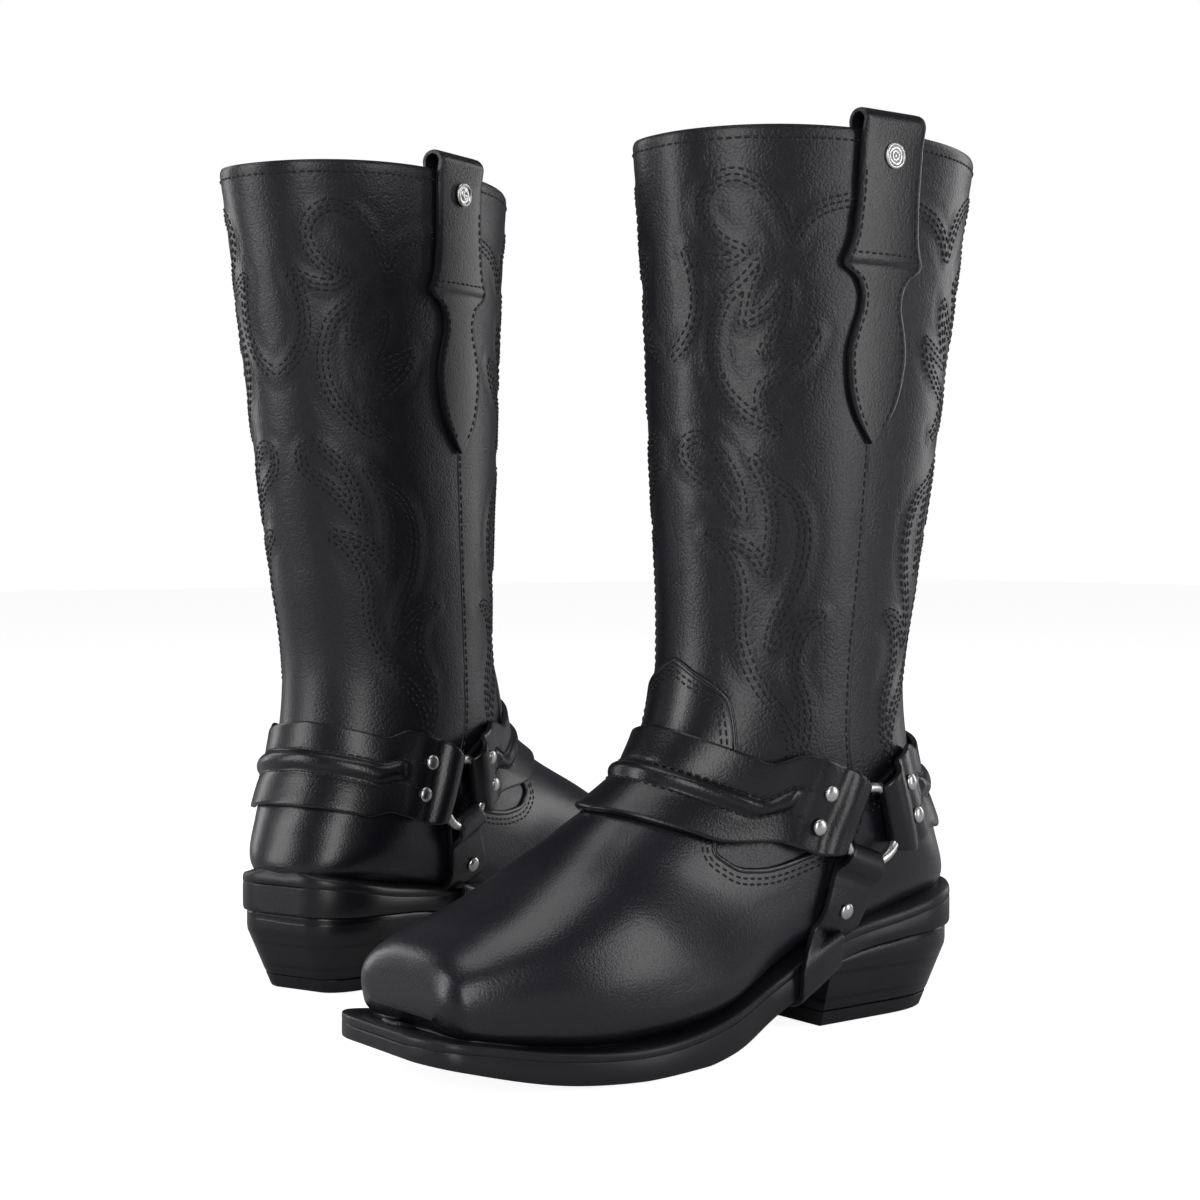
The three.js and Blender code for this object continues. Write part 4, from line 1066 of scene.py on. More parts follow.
class BOOTS_OT_feet(bpy.types.Operator):
    """Make the vamps with their tongues and the heel counters, with folded and sewn edges"""

    bl_idname = "boots.feet"
    bl_label = "Feet"

    def execute(self, context):
        sizes = settings().leather
        thick, proud, roll = mm(sizes.shaft), mm(sizes.overlay), mm(sizes.edge_roll)
        turns = np.linspace(0, 360, 289)[:-1]
        folded = fold_turn(turns)
        top = np.where(folded < COUNTER_TURN, JOINT(folded), COUNTER_END(np.maximum(folded, COUNTER_TURN))) + JOINT_GAP
        share = np.linspace(0, 1, 130)[:, None] ** 0.9
        s = top[None, :] + share * (TOE_RIM - top[None, :])
        turn = np.broadcast_to(turns[None, :], s.shape)
        outer = toe_closed(s, turn, np.full_like(s, proud), TOE_RIM, TOE_ROUND)
        inner = toe_closed(s, turn, np.full_like(s, -thick), TOE_RIM, TOE_ROUND - thick)
        vamp = Soup().add(*shell(outer, inner, close_columns=True))
        front_line = joint_line(-87.5, 87.5)
        folded_edge(vamp, *front_line, proud - 0.35, roll)
        turns = np.linspace(COUNTER_TURN + 0.3, 360 - COUNTER_TURN - 0.3, 200)
        folded = fold_turn(turns)
        top, bottom = JOINT(folded) + JOINT_GAP, COUNTER_END(folded) - JOINT_GAP
        s = top[None, :] + np.linspace(0, 1, 60)[:, None] * (bottom - top)[None, :]
        turn = np.broadcast_to(turns[None, :], s.shape)
        counter = Soup().add(*shell(skin(s, turn, proud), skin(s, turn, -thick)))
        back_line = joint_line(88.5, 271.5)
        folded_edge(counter, *back_line, proud - 0.35, roll)
        thread = Soup()
        for edge in (front_line, back_line):
            for distance in (2.7, 4.7):
                at, there = beside(*edge, -distance)
                if np.mean(at - edge[0]) < 0:
                    at, there = beside(*edge, distance)
                sewn_row(thread, at, there, proud + 0.02, relief=False)
        place_on_both([
            ("vamp_leather", vamp, ["foot"], "vamp", "leather"),
            ("counter_leather", counter, ["foot"], "heel_counter", "leather"),
            ("foot_seams", thread, ["thread"], None, "leather"),
        ])  # fmt: skip
        return {"FINISHED"}


# ---------------------------------------------------------------- straps
LEAN = math.radians(20)
STRAP_BASE = 1.3  # the strap's inner face over the last
BAND_HEIGHT = 1.3  # the middle of a strap's band over STRAP_BASE


def from_ring(angle, along, across):
    return (
        RING_X + along * math.cos(angle) - across * math.sin(angle),
        RING_Z + along * math.sin(angle) + across * math.cos(angle),
    )


# A strap's end, from its band to the ring, round it and back: along, height of the sheet's
# middle, and how much of the width it keeps.
RING_FOLD = [
    (33, 1.3, 1.0), (30, 1.9, 1.0), (27.2, 2.9, 1.0), (23.5, 3.4, 1.0), (20, 3.6, 1.0), (18, 4.9, 0.985),
    (16.3, 6.9, 0.95), (14.6, 7.9, 0.9), (12.4, 8.0, 0.84), (10.3, 7.2, 0.78), (8.9, 5.9, 0.74), (8.5, 4.4, 0.72),
    (9.1, 2.9, 0.72), (10.8, 1.6, 0.74), (13.5, 1.25, 0.76), (19, 1.2, 0.8), (26, 1.2, 0.82),
]  # fmt: skip


def ring_rows(angle, upper_edge, lower_edge, shares, fold=RING_FOLD):
    """Rows of points across a strap's end, each from its upper edge to its lower one."""
    rows = []
    for along, height, keep in fold:
        across = keep * (lower_edge + (upper_edge - lower_edge) * (1 - shares))
        x, z = from_ring(angle, along, across)
        rows.append(side_skin(x, z, np.full(len(shares), STRAP_BASE + height)))
    return rows


def smooth_rows(rows, step):
    """The rows' points run through smooth curves and cut into even short steps."""
    rows = np.stack(rows)
    centre = rows[:, rows.shape[1] // 2]
    keys = np.concatenate([[0], np.cumsum(np.linalg.norm(np.diff(centre, axis=0), axis=1))])
    run = Curve(keys, rows.reshape(len(rows), -1))
    at = np.linspace(0, keys[-1], int(keys[-1] / step) + 1)
    return run(at).reshape(len(at), *rows.shape[1:]), at


def sheet_normals(grid):
    along = np.gradient(grid, axis=0)
    across = np.gradient(grid, axis=1)
    n = np.cross(along, across)
    return n / (np.linalg.norm(n, axis=2, keepdims=True) + 1e-9)


def strap_sheet(grid, thick, raised=None, face=1.0):
    """A leather strap from its middle sheet, with slightly rounded cut edges."""
    n = sheet_normals(grid) * face
    columns = grid.shape[1]
    edge = np.minimum(np.arange(columns), np.arange(columns)[::-1])
    round_off = np.select([edge == 0, edge == 1], [0.62, 0.93], 1.0)[None, :, None]
    up = thick / 2 * round_off + (raised[..., None] if raised is not None else 0.0)
    outer, inner = grid + n * up, grid - n * thick / 2 * round_off
    return outer, inner, n


def both_sides(rows):
    """A half strap's rows and their mirror image, as one run from ring to ring."""
    flipped = [row * np.array([1, -1, 1]) for row in rows]
    return rows[::-1] + flipped[1:]


HALF_SHARES = np.array([0, 0.03, 0.06, 0.085, 0.105, 0.12, 0.145, 0.17, 0.23, 0.32, 0.41, 0.465, 0.49, 0.5])
EDGE_SHARES = 0.5 + np.concatenate([-HALF_SHARES[:0:-1], HALF_SHARES])
FRONT_HIGH = Curve([0, 34, 55, 70], [0.78, 0.793, 0.803, 0.807])
FRONT_LOW = Curve([0, 33, 50, 64, 76], [0.968, 0.958, 0.952, 0.946, 0.941])
REAR_HIGH = Curve([105, 128, 162, 180], [0.786, 0.757, 0.73, 0.724])
REAR_LOW = Curve([101, 115, 130, 159, 180], [0.893, 0.856, 0.833, 0.812, 0.808])


def band_rows(turns, high, low, shares):
    rows = []
    for turn in turns:
        s = high(turn) + shares * (low(turn) - high(turn))
        rows.append(skin(s, np.full(len(shares), float(turn)), np.full(len(shares), STRAP_BASE + BAND_HEIGHT)))
    return rows


ANKLE_MIDDLE = np.array([10, 0, 90])
BEAD_REACH = 47.0  # of strap at each end with no bead, the fold under the ring counted
BEAD_SEAM = 1.2  # from the bead's edge to its stitches


def beaded_strap(name, rows):
    """A harness strap with a padded bead between two rows of stitches."""
    sizes = settings().straps
    thick, bead, bead_width = mm(sizes.thick), mm(sizes.bead), mm(sizes.bead_width)
    grid, at = smooth_rows(rows, 1.1)
    centre = grid[:, grid.shape[1] // 2]
    n = sheet_normals(grid)
    face = np.sign(np.sum(n[len(n) // 2, grid.shape[1] // 2] * (centre[len(n) // 2] - ANKLE_MIDDLE)))
    width = np.linalg.norm(grid[:, -1] - grid[:, 0], axis=1)
    across = (EDGE_SHARES - 0.5)[None, :] * width[:, None]
    ends = np.clip((at - BEAD_REACH) / 5, 0, 1) * np.clip((at[-1] - BEAD_REACH - at) / 5, 0, 1)
    ends = ends * ends * (3 - 2 * ends)
    dome = np.clip(1 - (across / (bead_width / 2)) ** 2, 0, 1) ** 0.75
    groove = -0.35 * np.exp(-(((np.abs(across) - bead_width / 2 - BEAD_SEAM) / 0.9) ** 2))
    raised = ends[:, None] * (bead * dome + groove)
    outer, inner, n = strap_sheet(grid, thick, raised, face)
    soup = Soup().add(*shell(outer, inner))
    thread = Soup()
    sewn = np.where((at > BEAD_REACH - 4) & (at < at[-1] - BEAD_REACH + 4))[0]
    for side in (-1, 1):
        want = side * (bead_width / 2 + BEAD_SEAM)
        path, way = [], []
        for i in sewn:
            k = np.interp(want, across[i], np.arange(len(EDGE_SHARES)))
            j, f = int(k), k - int(k)
            path.append(outer[i, j] * (1 - f) + outer[i, j + 1] * f)
            way.append(n[i, j] * face)
        stitches(thread, np.array(path) + 0.2 * np.array(way), np.array(way))
    place_on_both([
        (f"{name}_leather", soup, ["strap"], f"harness_{name}", "strap"),
        (f"{name}_seams", thread, ["thread"], None, "strap"),
    ])  # fmt: skip


class BOOTS_OT_harness(bpy.types.Operator):
    """Make the three straps of each harness, folded round the rings"""

    bl_idname = "boots.harness"
    bl_label = "Harness Straps"

    def execute(self, context):
        shares = EDGE_SHARES
        end = ring_rows(LEAN, 17.0, -17.0, shares)
        band = band_rows(np.array([56, 48, 40, 32, 24, 16, 8, 0]), FRONT_HIGH, FRONT_LOW, shares)
        beaded_strap("front_strap", both_sides((end[::-1] + band)[::-1]))
        end = ring_rows(math.pi - LEAN, -17.0, 17.0, shares)
        band = band_rows(np.array([136, 144, 153, 162, 171, 180]), REAR_HIGH, REAR_LOW, shares)
        beaded_strap("rear_strap", both_sides((end[::-1] + band)[::-1]))
        self.under_strap()
        return {"FINISHED"}

    def under_strap(self):
        shares, thick = EDGE_SHARES, mm(settings().straps.thick)
        fold = [(min(a + 9, 40) if a > 27 else a, h, k) for a, h, k in RING_FOLD]
        end = ring_rows(LEAN - math.pi / 2, 9.0, -10.5, shares, fold)
        front, back = HEEL_BREAST + 22.3, HEEL_BREAST + 0.8
        x = front + shares * (back - front)
        level = sole_under(x) - 0.6

        def row(y, lift):
            return np.stack([x, OUTER_EDGE(x) + y, level + lift], 1)

        def under(share):
            return np.stack([x, OUTER_EDGE(x) * share, level - thick / 2], 1)

        rows = [*end[::-1], row(3.1, 13), row(2.5, 6), row(1.5, 1.0), under(0.93), under(0.7), under(0.35)]
        flipped = [r * np.array([1, -1, 1]) for r in rows]
        grid = smooth_rows(rows + flipped[::-1], 1.1)[0]
        face = -np.sign(sheet_normals(grid)[len(grid) // 2, len(shares) // 2][2])
        soup = Soup().add(*shell(*strap_sheet(grid, thick, None, face)[:2]))
        place_on_both([("under_strap_leather", soup, ["strap"], "harness_under_strap", "strap")])


# ---------------------------------------------------------------- pull straps
# Half width down the outer leg, by the drop below the rim.
PULL_DROPS = [4.5, 30, 40, 45, 48, 49.5, 52.5, 58, 64, 72, 80, 88, 96, 104, 110, 113]
PULL_HALF = [15, 15.2, 16.3, 18, 19, 18.6, 13.8, 10.3, 10.0, 12.3, 14.0, 13.4, 11.6, 7.8, 3.2, 0.5]
PULL_LOOP = {"middle": 42.8, "radius": 3.95, "height": 330.55, "x": -2.0}


def seam_x(z):
    s = np.clip((RIM_Z - z) / 280, 0, 0.8)
    return BACK_X(s) + MID(s) * (FRONT_X(s) - BACK_X(s))


class BOOTS_OT_pull_straps(bpy.types.Operator):
    """Make the pull straps: a loop over the rim and a stitched spade down each side"""

    bl_idname = "boots.pull_straps"
    bl_label = "Pull Straps"

    def execute(self, context):
        sizes = settings().straps
        thick, half = mm(sizes.pull_thick), mm(sizes.pull_width) / 2
        widths = Curve(PULL_DROPS, [w * half / 15 for w in PULL_HALF])
        shares = np.array([0, 0.03, 0.09, 0.2, 0.35, 0.5, 0.65, 0.8, 0.91, 0.97, 1]) * 2 - 1
        drops = np.concatenate([np.linspace(113, 46, 68), np.linspace(44.5, 4.5, 28)])
        legs = []
        for drop in drops:
            z = RIM_Z - drop
            step = 0.7 * np.clip((48.5 - drop) / 1.5, 0, 1)
            w = float(widths(drop))
            legs.append(side_skin(seam_x(z) + shares * w, z, np.full(len(shares), 0.3 + thick / 2 + step)))
        loop = []
        for a in np.linspace(0, math.pi, 15):
            y = PULL_LOOP["middle"] + math.cos(a) * PULL_LOOP["radius"]
            z = PULL_LOOP["height"] + math.sin(a) * PULL_LOOP["radius"]
            loop.append(np.stack([PULL_LOOP["x"] + shares * half, np.full(len(shares), y), np.full(len(shares), z)], 1))
        inside = []
        for drop in (5.5, 12, 20, 28, 34):
            z = RIM_Z - drop
            inside.append(side_skin(seam_x(z) + shares * half, z, np.full(len(shares), -2.7 - thick / 2)))
        grid = np.stack(legs + loop + inside)
        outer, inner, n = strap_sheet(grid, thick)
        if n[10, 5, 1] < 0:
            outer, inner, n = strap_sheet(grid, thick, None, -1.0)
        kept = [i for i in range(len(legs)) if 12 <= drops[i] <= 107]
        across_row = int(np.argmin(np.abs(drops - 44.5)))
        parts = []
        for side, sign in (("outer", 1), ("inner", -1)):
            flip = np.array([1, sign, 1])
            points, faces = shell(outer * flip, inner * flip)
            soup, thread = Soup().add(points, faces if sign > 0 else faces[:, ::-1]), Soup()
            for edge in (-1, 1):
                path = []
                for i in kept:
                    w = float(widths(drops[i]))
                    k = np.interp((w - 2.3) / w * edge, shares, np.arange(len(shares)))
                    j = min(int(k), len(shares) - 2)
                    path.append(outer[i, j] * (1 - k + j) + outer[i, j + 1] * (k - j))
                stitches(thread, np.array(path) * flip, n[kept, len(shares) // 2] * flip)
            stitches(thread, outer[across_row, 1:-1] * flip, n[across_row, 1:-1] * flip)
            parts.append((f"pull_{side}_leather", soup, ["strap"], f"pull_strap_{side}", "strap"))
            parts.append((f"pull_{side}_seams", thread, ["thread"], None, "strap"))
        place_on_both(parts)
        return {"FINISHED"}


# ---------------------------------------------------------------- metal
def lathe(profile, sides=32):
    """A turned piece about z from (radius, height) pairs that start and end on the axis."""
    profile = np.array(profile, float)
    a = np.arange(sides) / sides * 2 * math.pi
    rings = profile[1:-1]
    points = np.stack(
        [rings[:, :1] * np.cos(a), rings[:, :1] * np.sin(a), np.repeat(rings[:, 1:], sides, axis=1)], -1
    ).reshape(-1, 3)
    count = len(points)
    points = np.concatenate([points, [[0, 0, profile[0, 1]], [0, 0, profile[-1, 1]]]])
    faces = [quads(len(rings), sides, close_columns=True)[:, ::-1]]
    j = np.arange(sides)
    k = (j + 1) % sides
    last = (len(rings) - 1) * sides
    faces.append(np.stack([np.full(sides, count), k, j, j], 1))
    faces.append(np.stack([np.full(sides, count + 1), last + j, last + k, last + k], 1))
    return points, np.concatenate(faces)


def stood(points, seat, way):
    """A turned piece set on its seat, pointing the given way."""
    way = way / np.linalg.norm(way)
    side = np.cross(way, [0.0, 0.0, 1.0])
    side /= np.linalg.norm(side)
    up = np.cross(side, way)
    return seat + points[:, :1] * side + points[:, 1:2] * up + points[:, 2:] * way


def boot_place(boot, node_name):
    """The middle of a node, in the boot's own millimetres, and the way out of the leather there."""
    low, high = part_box(node_name)
    at = ((np.array(low) + np.array(high)) / 2 - boot.origin) / MM
    local = np.array([at @ boot.x, at @ boot.y, at @ boot.z])
    s, turn = place(local[0], local[2])
    way = normals(s, turn)
    return local, way * np.array([1, 1 if local[1] > 0 else -1, 1])


class BOOTS_OT_metal(bpy.types.Operator):
    """Make the rings, rivets and studs"""

    bl_idname = "boots.metal"
    bl_label = "Metal"

    def execute(self, context):
        looks = finishes()
        sizes = settings().metal
        radius, wire, head, stud = mm(sizes.ring_radius), mm(sizes.ring_wire), mm(sizes.rivet_head), mm(sizes.stud_head)
        a = np.linspace(0, 2 * math.pi, 97)[:-1]
        for boot in BOOTS:
            for side in ("outer", "inner"):
                node_name = f"{boot.name}_ring_{side}"
                centre = boot_place(boot, node_name)[0]
                path = centre + radius * np.stack([np.cos(a), np.zeros_like(a), np.sin(a)], 1)
                normal = np.tile([0.0, 1.0, 0.0], (len(a), 1))
                soup = Soup().add(*tube(path, normal, wire, sides=20, closed=True))
                name, nickel = f"{node_name}_polished", [looks["nickel"]]
                make_piece(name, boot, soup, nickel, body=node_name, replaces=[node_name])
            rivets = [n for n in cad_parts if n.startswith(f"{boot.name}_rivet_")]
            if len(rivets) != 10:
                raise RuntimeError(f"{boot.name} boot has {len(rivets)} rivets, not 10")
            dome = [
                (0, -3.6), (1.15, -3.6), (1.15, 0.15), (head * 0.97, 0.15), (head, 0.4), (head * 0.97, 0.75),
                (head * 0.86, 1.12), (head * 0.66, 1.45), (head * 0.4, 1.64), (head * 0.16, 1.7), (0, 1.71),
            ]  # fmt: skip
            points, faces = lathe(dome)
            for node_name in rivets:
                centre, way = boot_place(boot, node_name)
                # the node's middle is a millimetre under the strap's face, whatever the strap
                soup = Soup().add(stood(points, centre + way * 1.45, way), faces)
                make_piece(f"{node_name}_dome", boot, soup, [looks["nickel"]], replaces=[node_name])
            button = [
                (0, -1.9), (1.3, -1.9), (1.3, 0.2), (stud * 0.96, 0.2), (stud, 0.45), (stud, 0.95), (stud * 0.94, 1.3),
                (stud * 0.83, 1.45), (stud * 0.78, 1.3), (stud * 0.72, 1.05), (stud * 0.5, 1.0), (stud * 0.44, 1.25),
                (stud * 0.34, 1.38), (stud * 0.22, 1.3), (stud * 0.16, 1.05), (0, 1.0),
            ]  # fmt: skip
            points, faces = lathe(button, 48)
            for side in ("outer", "inner"):
                node_name = f"{boot.name}_stud_{side}"
                centre, way = boot_place(boot, node_name)
                soup = Soup().add(stood(points, centre + way * 0.45, way), faces)
                make_piece(f"{node_name}_button", boot, soup, [looks["nickel"]], replaces=[node_name])
        return {"FINISHED"}


# ---------------------------------------------------------------- soles and heels
LIFT_TOP, BLOCK_FOOT = 5.45, 5.8  # the heel's wearing lift ends, and its block starts


def sole_stations():
    back = SOLE_BACK + 28 * (1 - np.cos(np.linspace(0, math.pi / 2, 22)))
    toe = SOLE_TOE - 16 * (1 - np.cos(np.linspace(math.pi / 2, 0, 18)))
    return np.concatenate([back, np.linspace(back[-1] + 2, toe[0] - 2, 90), toe])


def foot_contour(x, lift):
    """How far the foot's outer and inner sides reach at x, a little over the welt."""
    z = sole_top(x) + 3.3 + lift
    s, turn = place(x, z)
    outer = skin(s, turn, np.ones_like(x))[:, 1]
    return outer, 2 * SIDE(s) - outer


def outline_and_foot():
    """The sole's edge and the foot's edge on it, as two closed lines of matching points."""
    x = sole_stations()
    keep = end_share(x)
    edge_out, edge_in = OUTER_EDGE(x) * keep, INNER_EDGE(x) * keep
    foot_x = np.clip(x, -56.5, TOE - 3)
    foot_out, foot_in = foot_contour(foot_x, 0.4)
    back = np.clip((-50 - x) / (-50 - SOLE_BACK), 0, 1)
    toe = np.clip((x - (TOE - 4)) / (SOLE_TOE - TOE + 4), 0, 1)
    shrink = (1 - 0.62 * back**1.6) * (1 - 0.12 * toe**2)
    foot_x = foot_x - 2.6 * back**2 + 4.3 * toe**0.8
    foot_out, foot_in = foot_out * shrink, foot_in * shrink
    foot_out = np.minimum(foot_out, edge_out - 1.6)
    foot_in = np.maximum(foot_in, edge_in + 1.6)

    def loop(xs, outs, ins):
        first = [(xs[0], ins[0] + (outs[0] - ins[0]) * k) for k in np.linspace(0, 1, 8)[1:-1]]
        last = [(xs[-1], outs[-1] + (ins[-1] - outs[-1]) * k) for k in np.linspace(0, 1, 12)[1:-1]]
        return np.array([*first, *zip(xs, outs), *last, *zip(xs[::-1], ins[::-1])])

    return loop(x, edge_out, edge_in), loop(foot_x, foot_out, foot_in)


class BOOTS_OT_soles(bpy.types.Operator):
    """Make the outsoles, welts, heel blocks and top lifts"""

    bl_idname = "boots.soles"
    bl_label = "Soles and Heels"

    def execute(self, context):
        looks = finishes()
        for boot in BOOTS:
            self.outsole(boot, looks)
            self.welt(boot, looks)
            breast_top = float(sole_under(HEEL_BREAST))
            block = (lambda x: np.full_like(x, BLOCK_FOOT), lambda x: sole_under(x) - 0.3)
            lift = (np.zeros_like, lambda x: np.full_like(x, LIFT_TOP))
            self.heel(boot, looks, "heel_block", *block, breast_top, "heel")
            self.heel(boot, looks, "heel_lift", *lift, breast_top, "rubber")
        return {"FINISHED"}

    def outsole(self, boot, looks):
        x = sole_stations()
        top, under = sole_top(x), sole_under(x)
        keep = end_share(x)
        out, inn = OUTER_EDGE(x) * keep, INNER_EDGE(x) * keep
        near = np.minimum(x - x[0], x[-1] - x)
        soft = 0.9 * np.clip(1 - near / 0.9, 0, 1) ** 2
        top, under = top - soft, under + soft
        tall = top - under
        k = np.linspace(0, 1, 9)
        side = [(-0.2, 0.985), (0, 0.93), (0.05, 0.5), (0.0, 0.12), (-0.45, 0.02)]
        section = [(inn + 1.0 + (out - inn - 2.0) * v, top) for v in k]
        section += [(out + d, under + tall * h) for d, h in side]
        section += [(out - 1.5 - (out - inn - 3.0) * v, under) for v in k]
        section += [(inn - d, under + tall * h) for d, h in side[::-1]]
        grid = np.stack([np.stack([x, y, z], 1) for y, z in section], 1)
        soup = Soup()
        rows, columns = grid.shape[:2]
        points = grid.reshape(-1, 3)
        faces = [quads(rows, columns, close_columns=True)]
        count = len(points)
        points = np.concatenate([points, [grid[0].mean(0), grid[-1].mean(0)]])
        j = np.arange(columns)
        n = (j + 1) % columns
        last = (rows - 1) * columns
        faces.append(np.stack([np.full(columns, count), n, j, j], 1))
        faces.append(np.stack([np.full(columns, count + 1), last + j, last + n, last + n], 1))
        soup.add(points, np.concatenate(faces)[:, ::-1])
        name, rubber = f"{boot.name}_sole_moulded", [looks["rubber"]]
        make_piece(name, boot, soup, rubber, replaces=[f"{boot.name}_outsole"])

    def welt(self, boot, looks):
        edge, foot = outline_and_foot()
        base = sole_top(edge[:, 0]) - 0.05
        way = foot - edge
        width = np.linalg.norm(way, axis=1)
        way = way / width[:, None]
        heel = np.clip((HEEL_BREAST + 12 - edge[:, 0]) / 40, 0, 1)
        rise = 3.6 * heel * heel * (3 - 2 * heel)
        rows = []
        for share, inset, h, risen in (
            (0, 0.3, 0.0, 0), (0, 0, 0.6, 0), (0, 0, 2.2, 0), (0, 0.35, 2.75, 0.1), (0, 1.0, 3.0, 0.25),
            (0.55, 0.4, 3.05, 0.75), (1, -0.9, 3.05, 1), (1, 0.6, 3.0, 1), (1, 0.6, 0.0, 0),
        ):  # fmt: skip
            p = edge + way * (share * width + inset)[:, None]
            rows.append(np.stack([p[:, 0], p[:, 1], base + h + risen * rise], 1))
        grid = np.stack(rows, 1)
        faces = quads(*grid.shape[:2], close_rows=True, close_columns=True)
        soup = Soup().add(grid.reshape(-1, 3), faces[:, ::-1])
        bead = foot - way * 1.5
        path = np.stack([bead[:, 0], bead[:, 1], base + 3.5 + rise], 1)
        soup.add(*tube(path, np.tile([0, 0, 1.0], (len(path), 1)), 1.0, sides=8, closed=True))
        name, rubber = f"{boot.name}_welt_beaded", [looks["rubber"]]
        make_piece(name, boot, soup, rubber, replaces=[f"{boot.name}_welt"])

    def heel(self, boot, looks, name, low, high, breast_top, finish):
        share = np.concatenate([[0], 0.45 * np.linspace(0.02, 1, 26) ** 1.7, np.linspace(0.5, 0.985, 12), [0.997, 1.0]])
        top_back, foot_back = SOLE_BACK + 1.5, -49.0
        levels = []
        for u in np.concatenate([[0, 0.012, 0.05], np.linspace(0.12, 0.9, 12), [0.96, 0.99, 1]]):
            x_top = top_back + share * (HEEL_BREAST - top_back)
            z = low(x_top) + u * (high(x_top) - low(x_top))
            up = np.clip(z / breast_top, 0, None)
            x_foot = foot_back + share * (HEEL_BREAST - foot_back)
            x = x_foot + np.clip(up, 0, 1) * (x_top - x_foot)
            half = 24 + np.clip(up, 0, 1) * (30.2 - 24)
            keep = 11 / half
            arc = np.sqrt(np.maximum(0, 1 - (1 - np.minimum(1, share / 0.45)) ** 2.3))
            w = half * (keep + (1 - keep) * arc)
            soft = 0.5 * np.clip(1 - min(u, 1 - u) / 0.03, 0, 1) ** 2
            w = w - soft
            w[-1] -= 0.7
            levels.append(np.concatenate([np.stack([x, w, z], 1), np.stack([x, -w, z], 1)[::-1]]))
        grid = np.stack(levels)
        rows, columns = grid.shape[:2]
        faces = [quads(rows, columns, close_columns=True)]
        i = np.arange(len(share) - 1)
        cap = np.stack([i, i + 1, columns - 2 - i, columns - 1 - i], 1)
        faces.append(cap[:, ::-1])
        faces.append(cap + (rows - 1) * columns)
        soup = Soup().add(grid.reshape(-1, 3), np.concatenate(faces))
        node_name = f"{boot.name}_{name}"
        make_piece(f"{node_name}_shaped", boot, soup, [looks[finish]], replaces=[node_name])


class BOOTS_OT_insides(bpy.types.Operator):
    """Give the pieces inside the boots their finishes"""

    bl_idname = "boots.insides"
    bl_label = "Insides"

    def execute(self, context):
        looks = finishes()
        for boot in BOOTS:
            for piece, finish in (("sock_liner", "sock"), ("insole_board", "board"), ("shank", "steel")):
                obj = bpy.data.objects[f"{boot.name}_{piece}"]
                for slot in obj.material_slots:
                    slot.material = looks[finish]
        return {"FINISHED"}


# ---------------------------------------------------------------- stage
WHITE = (1, 1, 1, 1)
DIM = (0.075, 0.075, 0.085, 1)  # what the world gives to all but the camera
FLOOR_GLOW = 0.92
FLOOR_HALF, FLOOR_Z = 6, -0.0006


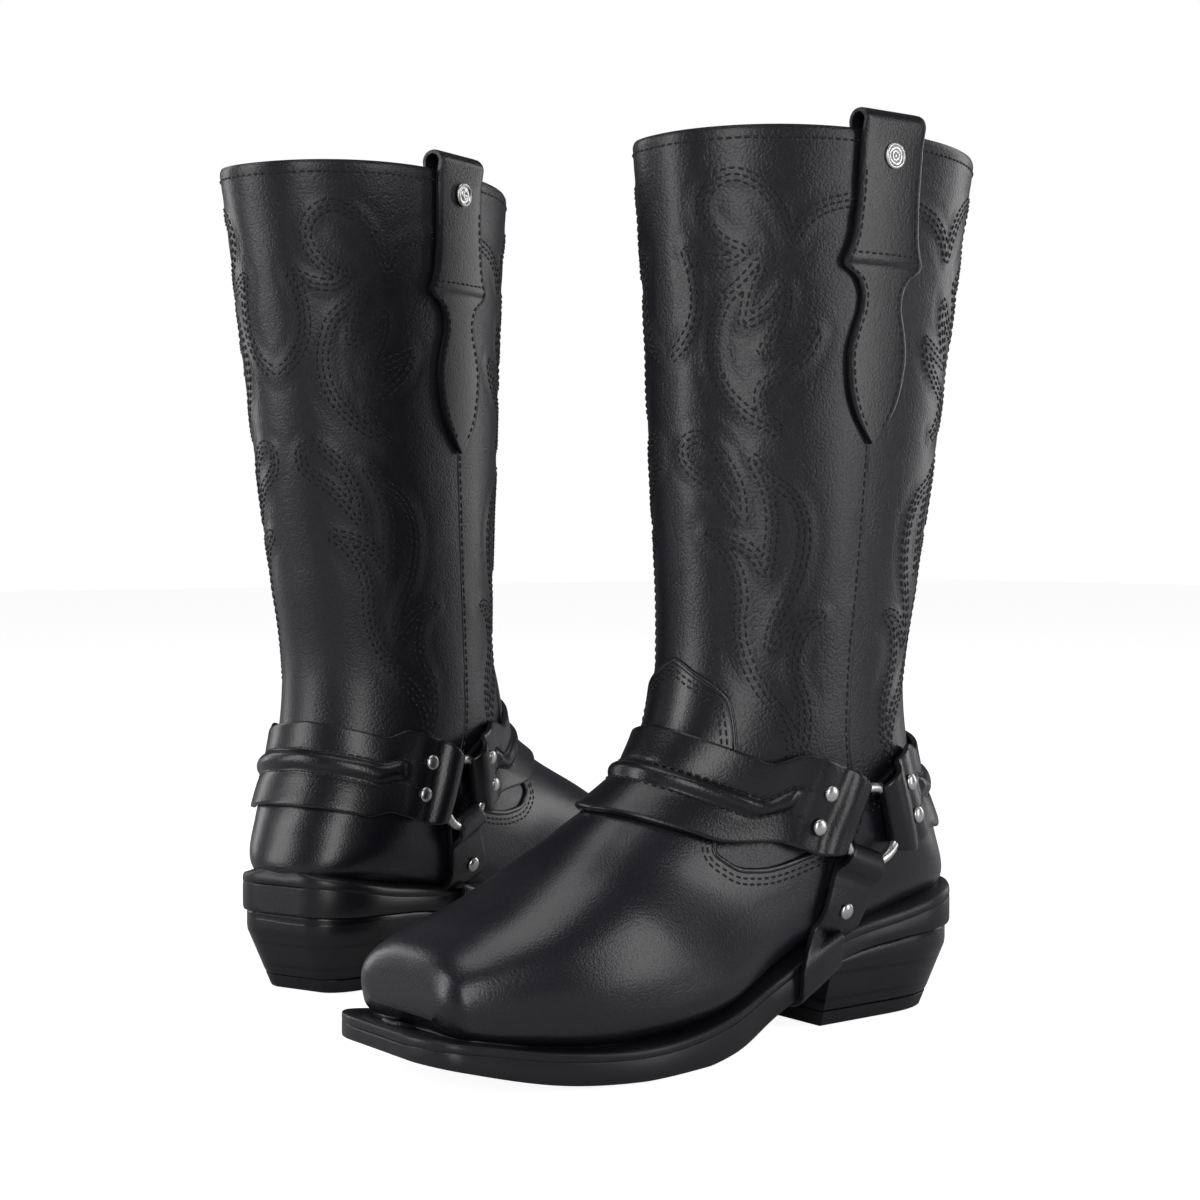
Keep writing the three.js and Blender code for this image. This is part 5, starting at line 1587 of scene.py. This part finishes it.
class BOOTS_OT_stage(bpy.types.Operator):
    """Set the pale floor, the soft lights and the camera"""

    bl_idname = "boots.stage"
    bl_label = "Stage"

    def execute(self, context):
        sizes = settings().stage
        self.camera(sizes)
        self.floor()
        self.lights(sizes.light)
        return {"FINISHED"}

    def camera(self, sizes):
        data = bpy.data.cameras.new("Camera")
        data.lens, data.sensor_width, data.clip_end = sizes.lens, 36.0, 50.0
        camera = bpy.data.objects.new("Camera", data)
        camera.location = sizes.camera
        camera.rotation_euler = (math.pi / 2 - sizes.pitch, 0, sizes.heading)
        bpy.context.scene.collection.objects.link(camera)
        bpy.context.scene.camera = camera

    def floor(self):
        material, tree, principled = shader("Pale Floor")
        place_of = object_place(tree)
        cloud = noise_fac(tree, place_of, 3.0, 2.0)
        colour = settings().finishes.floor
        tree.links.new(mixed(tree, cloud, rgba(colour), rgba(colour, 0.97)), principled.inputs["Base Color"])
        principled.inputs["Roughness"].default_value = 0.8
        principled.inputs["Specular IOR Level"].default_value = 0.1
        seen = node(tree, "ShaderNodeLightPath").outputs["Is Camera Ray"]
        principled.inputs["Emission Color"].default_value = WHITE
        glow = reckon(tree, "MULTIPLY", seen, FLOOR_GLOW)
        tree.links.new(glow, principled.inputs["Emission Strength"])
        mesh = bpy.data.meshes.new("Floor")
        corners = [(x * FLOOR_HALF, y * FLOOR_HALF, FLOOR_Z) for x, y in ((-1, -1), (1, -1), (1, 1), (-1, 1))]
        mesh.from_pydata(corners, [], [(0, 1, 2, 3)])
        mesh.materials.append(material)
        floor = bpy.data.objects.new("Floor", mesh)
        bpy.context.scene.collection.objects.link(floor)

    def lights(self, strength):
        heading = settings().stage.heading
        # name, degrees from the camera's right, distance, height, width, tall, watts
        boxes = [
            ("Key", 272, 1.9, 0.75, 0.75, 1.5, 13),
            ("Left", 195, 1.6, 0.6, 0.5, 1.3, 9),
            ("Right", -20, 1.7, 0.6, 0.5, 1.3, 7),
            ("Back Left", 145, 1.8, 0.6, 0.5, 1.2, 5),
            ("Back Right", 35, 1.8, 0.6, 0.5, 1.2, 5),
        ]
        for name, degrees, distance, height, width, tall, watts in boxes:
            data = bpy.data.lights.new(name, "AREA")
            data.shape, data.size, data.size_y, data.energy = "RECTANGLE", width, tall, watts * strength
            light = bpy.data.objects.new(name, data)
            angle = heading + math.radians(degrees)
            light.location = (distance * math.cos(angle), distance * math.sin(angle), height)
            aim = Vector((0, 0, 0.16)) - light.location
            light.rotation_euler = aim.to_track_quat("-Z", "Y").to_euler()
            bpy.context.scene.collection.objects.link(light)
        data = bpy.data.lights.new("Top", "AREA")
        data.shape, data.size, data.energy = "DISK", 1.4, 9 * strength
        light = bpy.data.objects.new("Top", data)
        light.location = (0, 0, 2.0)
        bpy.context.scene.collection.objects.link(light)
        world = bpy.data.worlds.new("Studio")
        world.use_nodes = True
        tree = world.node_tree
        seen = node(tree, "ShaderNodeLightPath").outputs["Is Camera Ray"]
        shade = mixed(tree, seen, DIM, WHITE)
        tree.links.new(shade, tree.nodes["Background"].inputs["Color"])
        bpy.context.scene.world = world
        bpy.context.scene.view_settings.view_transform = "Standard"


# ---------------------------------------------------------------- the add-on
class BOOTS_PT_panel(bpy.types.Panel):
    """The boots' sizes, colours and steps"""

    bl_idname = "BOOTS_PT_panel"
    bl_label = "Harness Boots"
    bl_space_type = "VIEW_3D"
    bl_region_type = "UI"
    bl_category = "Boots"

    def draw(self, context):
        chosen = context.scene.boot_settings
        for title, group in (
            ("Leather", chosen.leather), ("Stitching", chosen.stitch), ("Straps", chosen.straps),
            ("Metal", chosen.metal), ("Finishes", chosen.finishes), ("Stage", chosen.stage),
        ):  # fmt: skip
            box = self.layout.box()
            box.label(text=title)
            for name in group.__annotations__:
                box.prop(group, name)
        for step in STEPS:
            self.layout.operator(step.bl_idname)


STEPS = (
    BOOTS_OT_stage, BOOTS_OT_shafts, BOOTS_OT_pattern, BOOTS_OT_feet, BOOTS_OT_harness,
    BOOTS_OT_pull_straps, BOOTS_OT_metal, BOOTS_OT_soles, BOOTS_OT_insides,
)  # fmt: skip
SIZES = (LeatherSizes, StitchSizes, StrapSizes, MetalSizes, Finishes, StageSizes, BootSettings)
CLASSES = (*SIZES, *STEPS, BOOTS_PT_panel)


def register():
    for cls in CLASSES:
        bpy.utils.register_class(cls)
    bpy.types.Scene.boot_settings = PointerProperty(type=BootSettings)


def unregister():
    del bpy.types.Scene.boot_settings
    for cls in reversed(CLASSES):
        bpy.utils.unregister_class(cls)


def main():
    register()
    bpy.ops.boots.stage()
    bpy.ops.boots.shafts()
    bpy.ops.boots.pattern()
    bpy.ops.boots.feet()
    bpy.ops.boots.harness()
    bpy.ops.boots.pull_straps()
    bpy.ops.boots.metal()
    bpy.ops.boots.soles()
    bpy.ops.boots.insides()


if __name__ == "__main__":
    main()
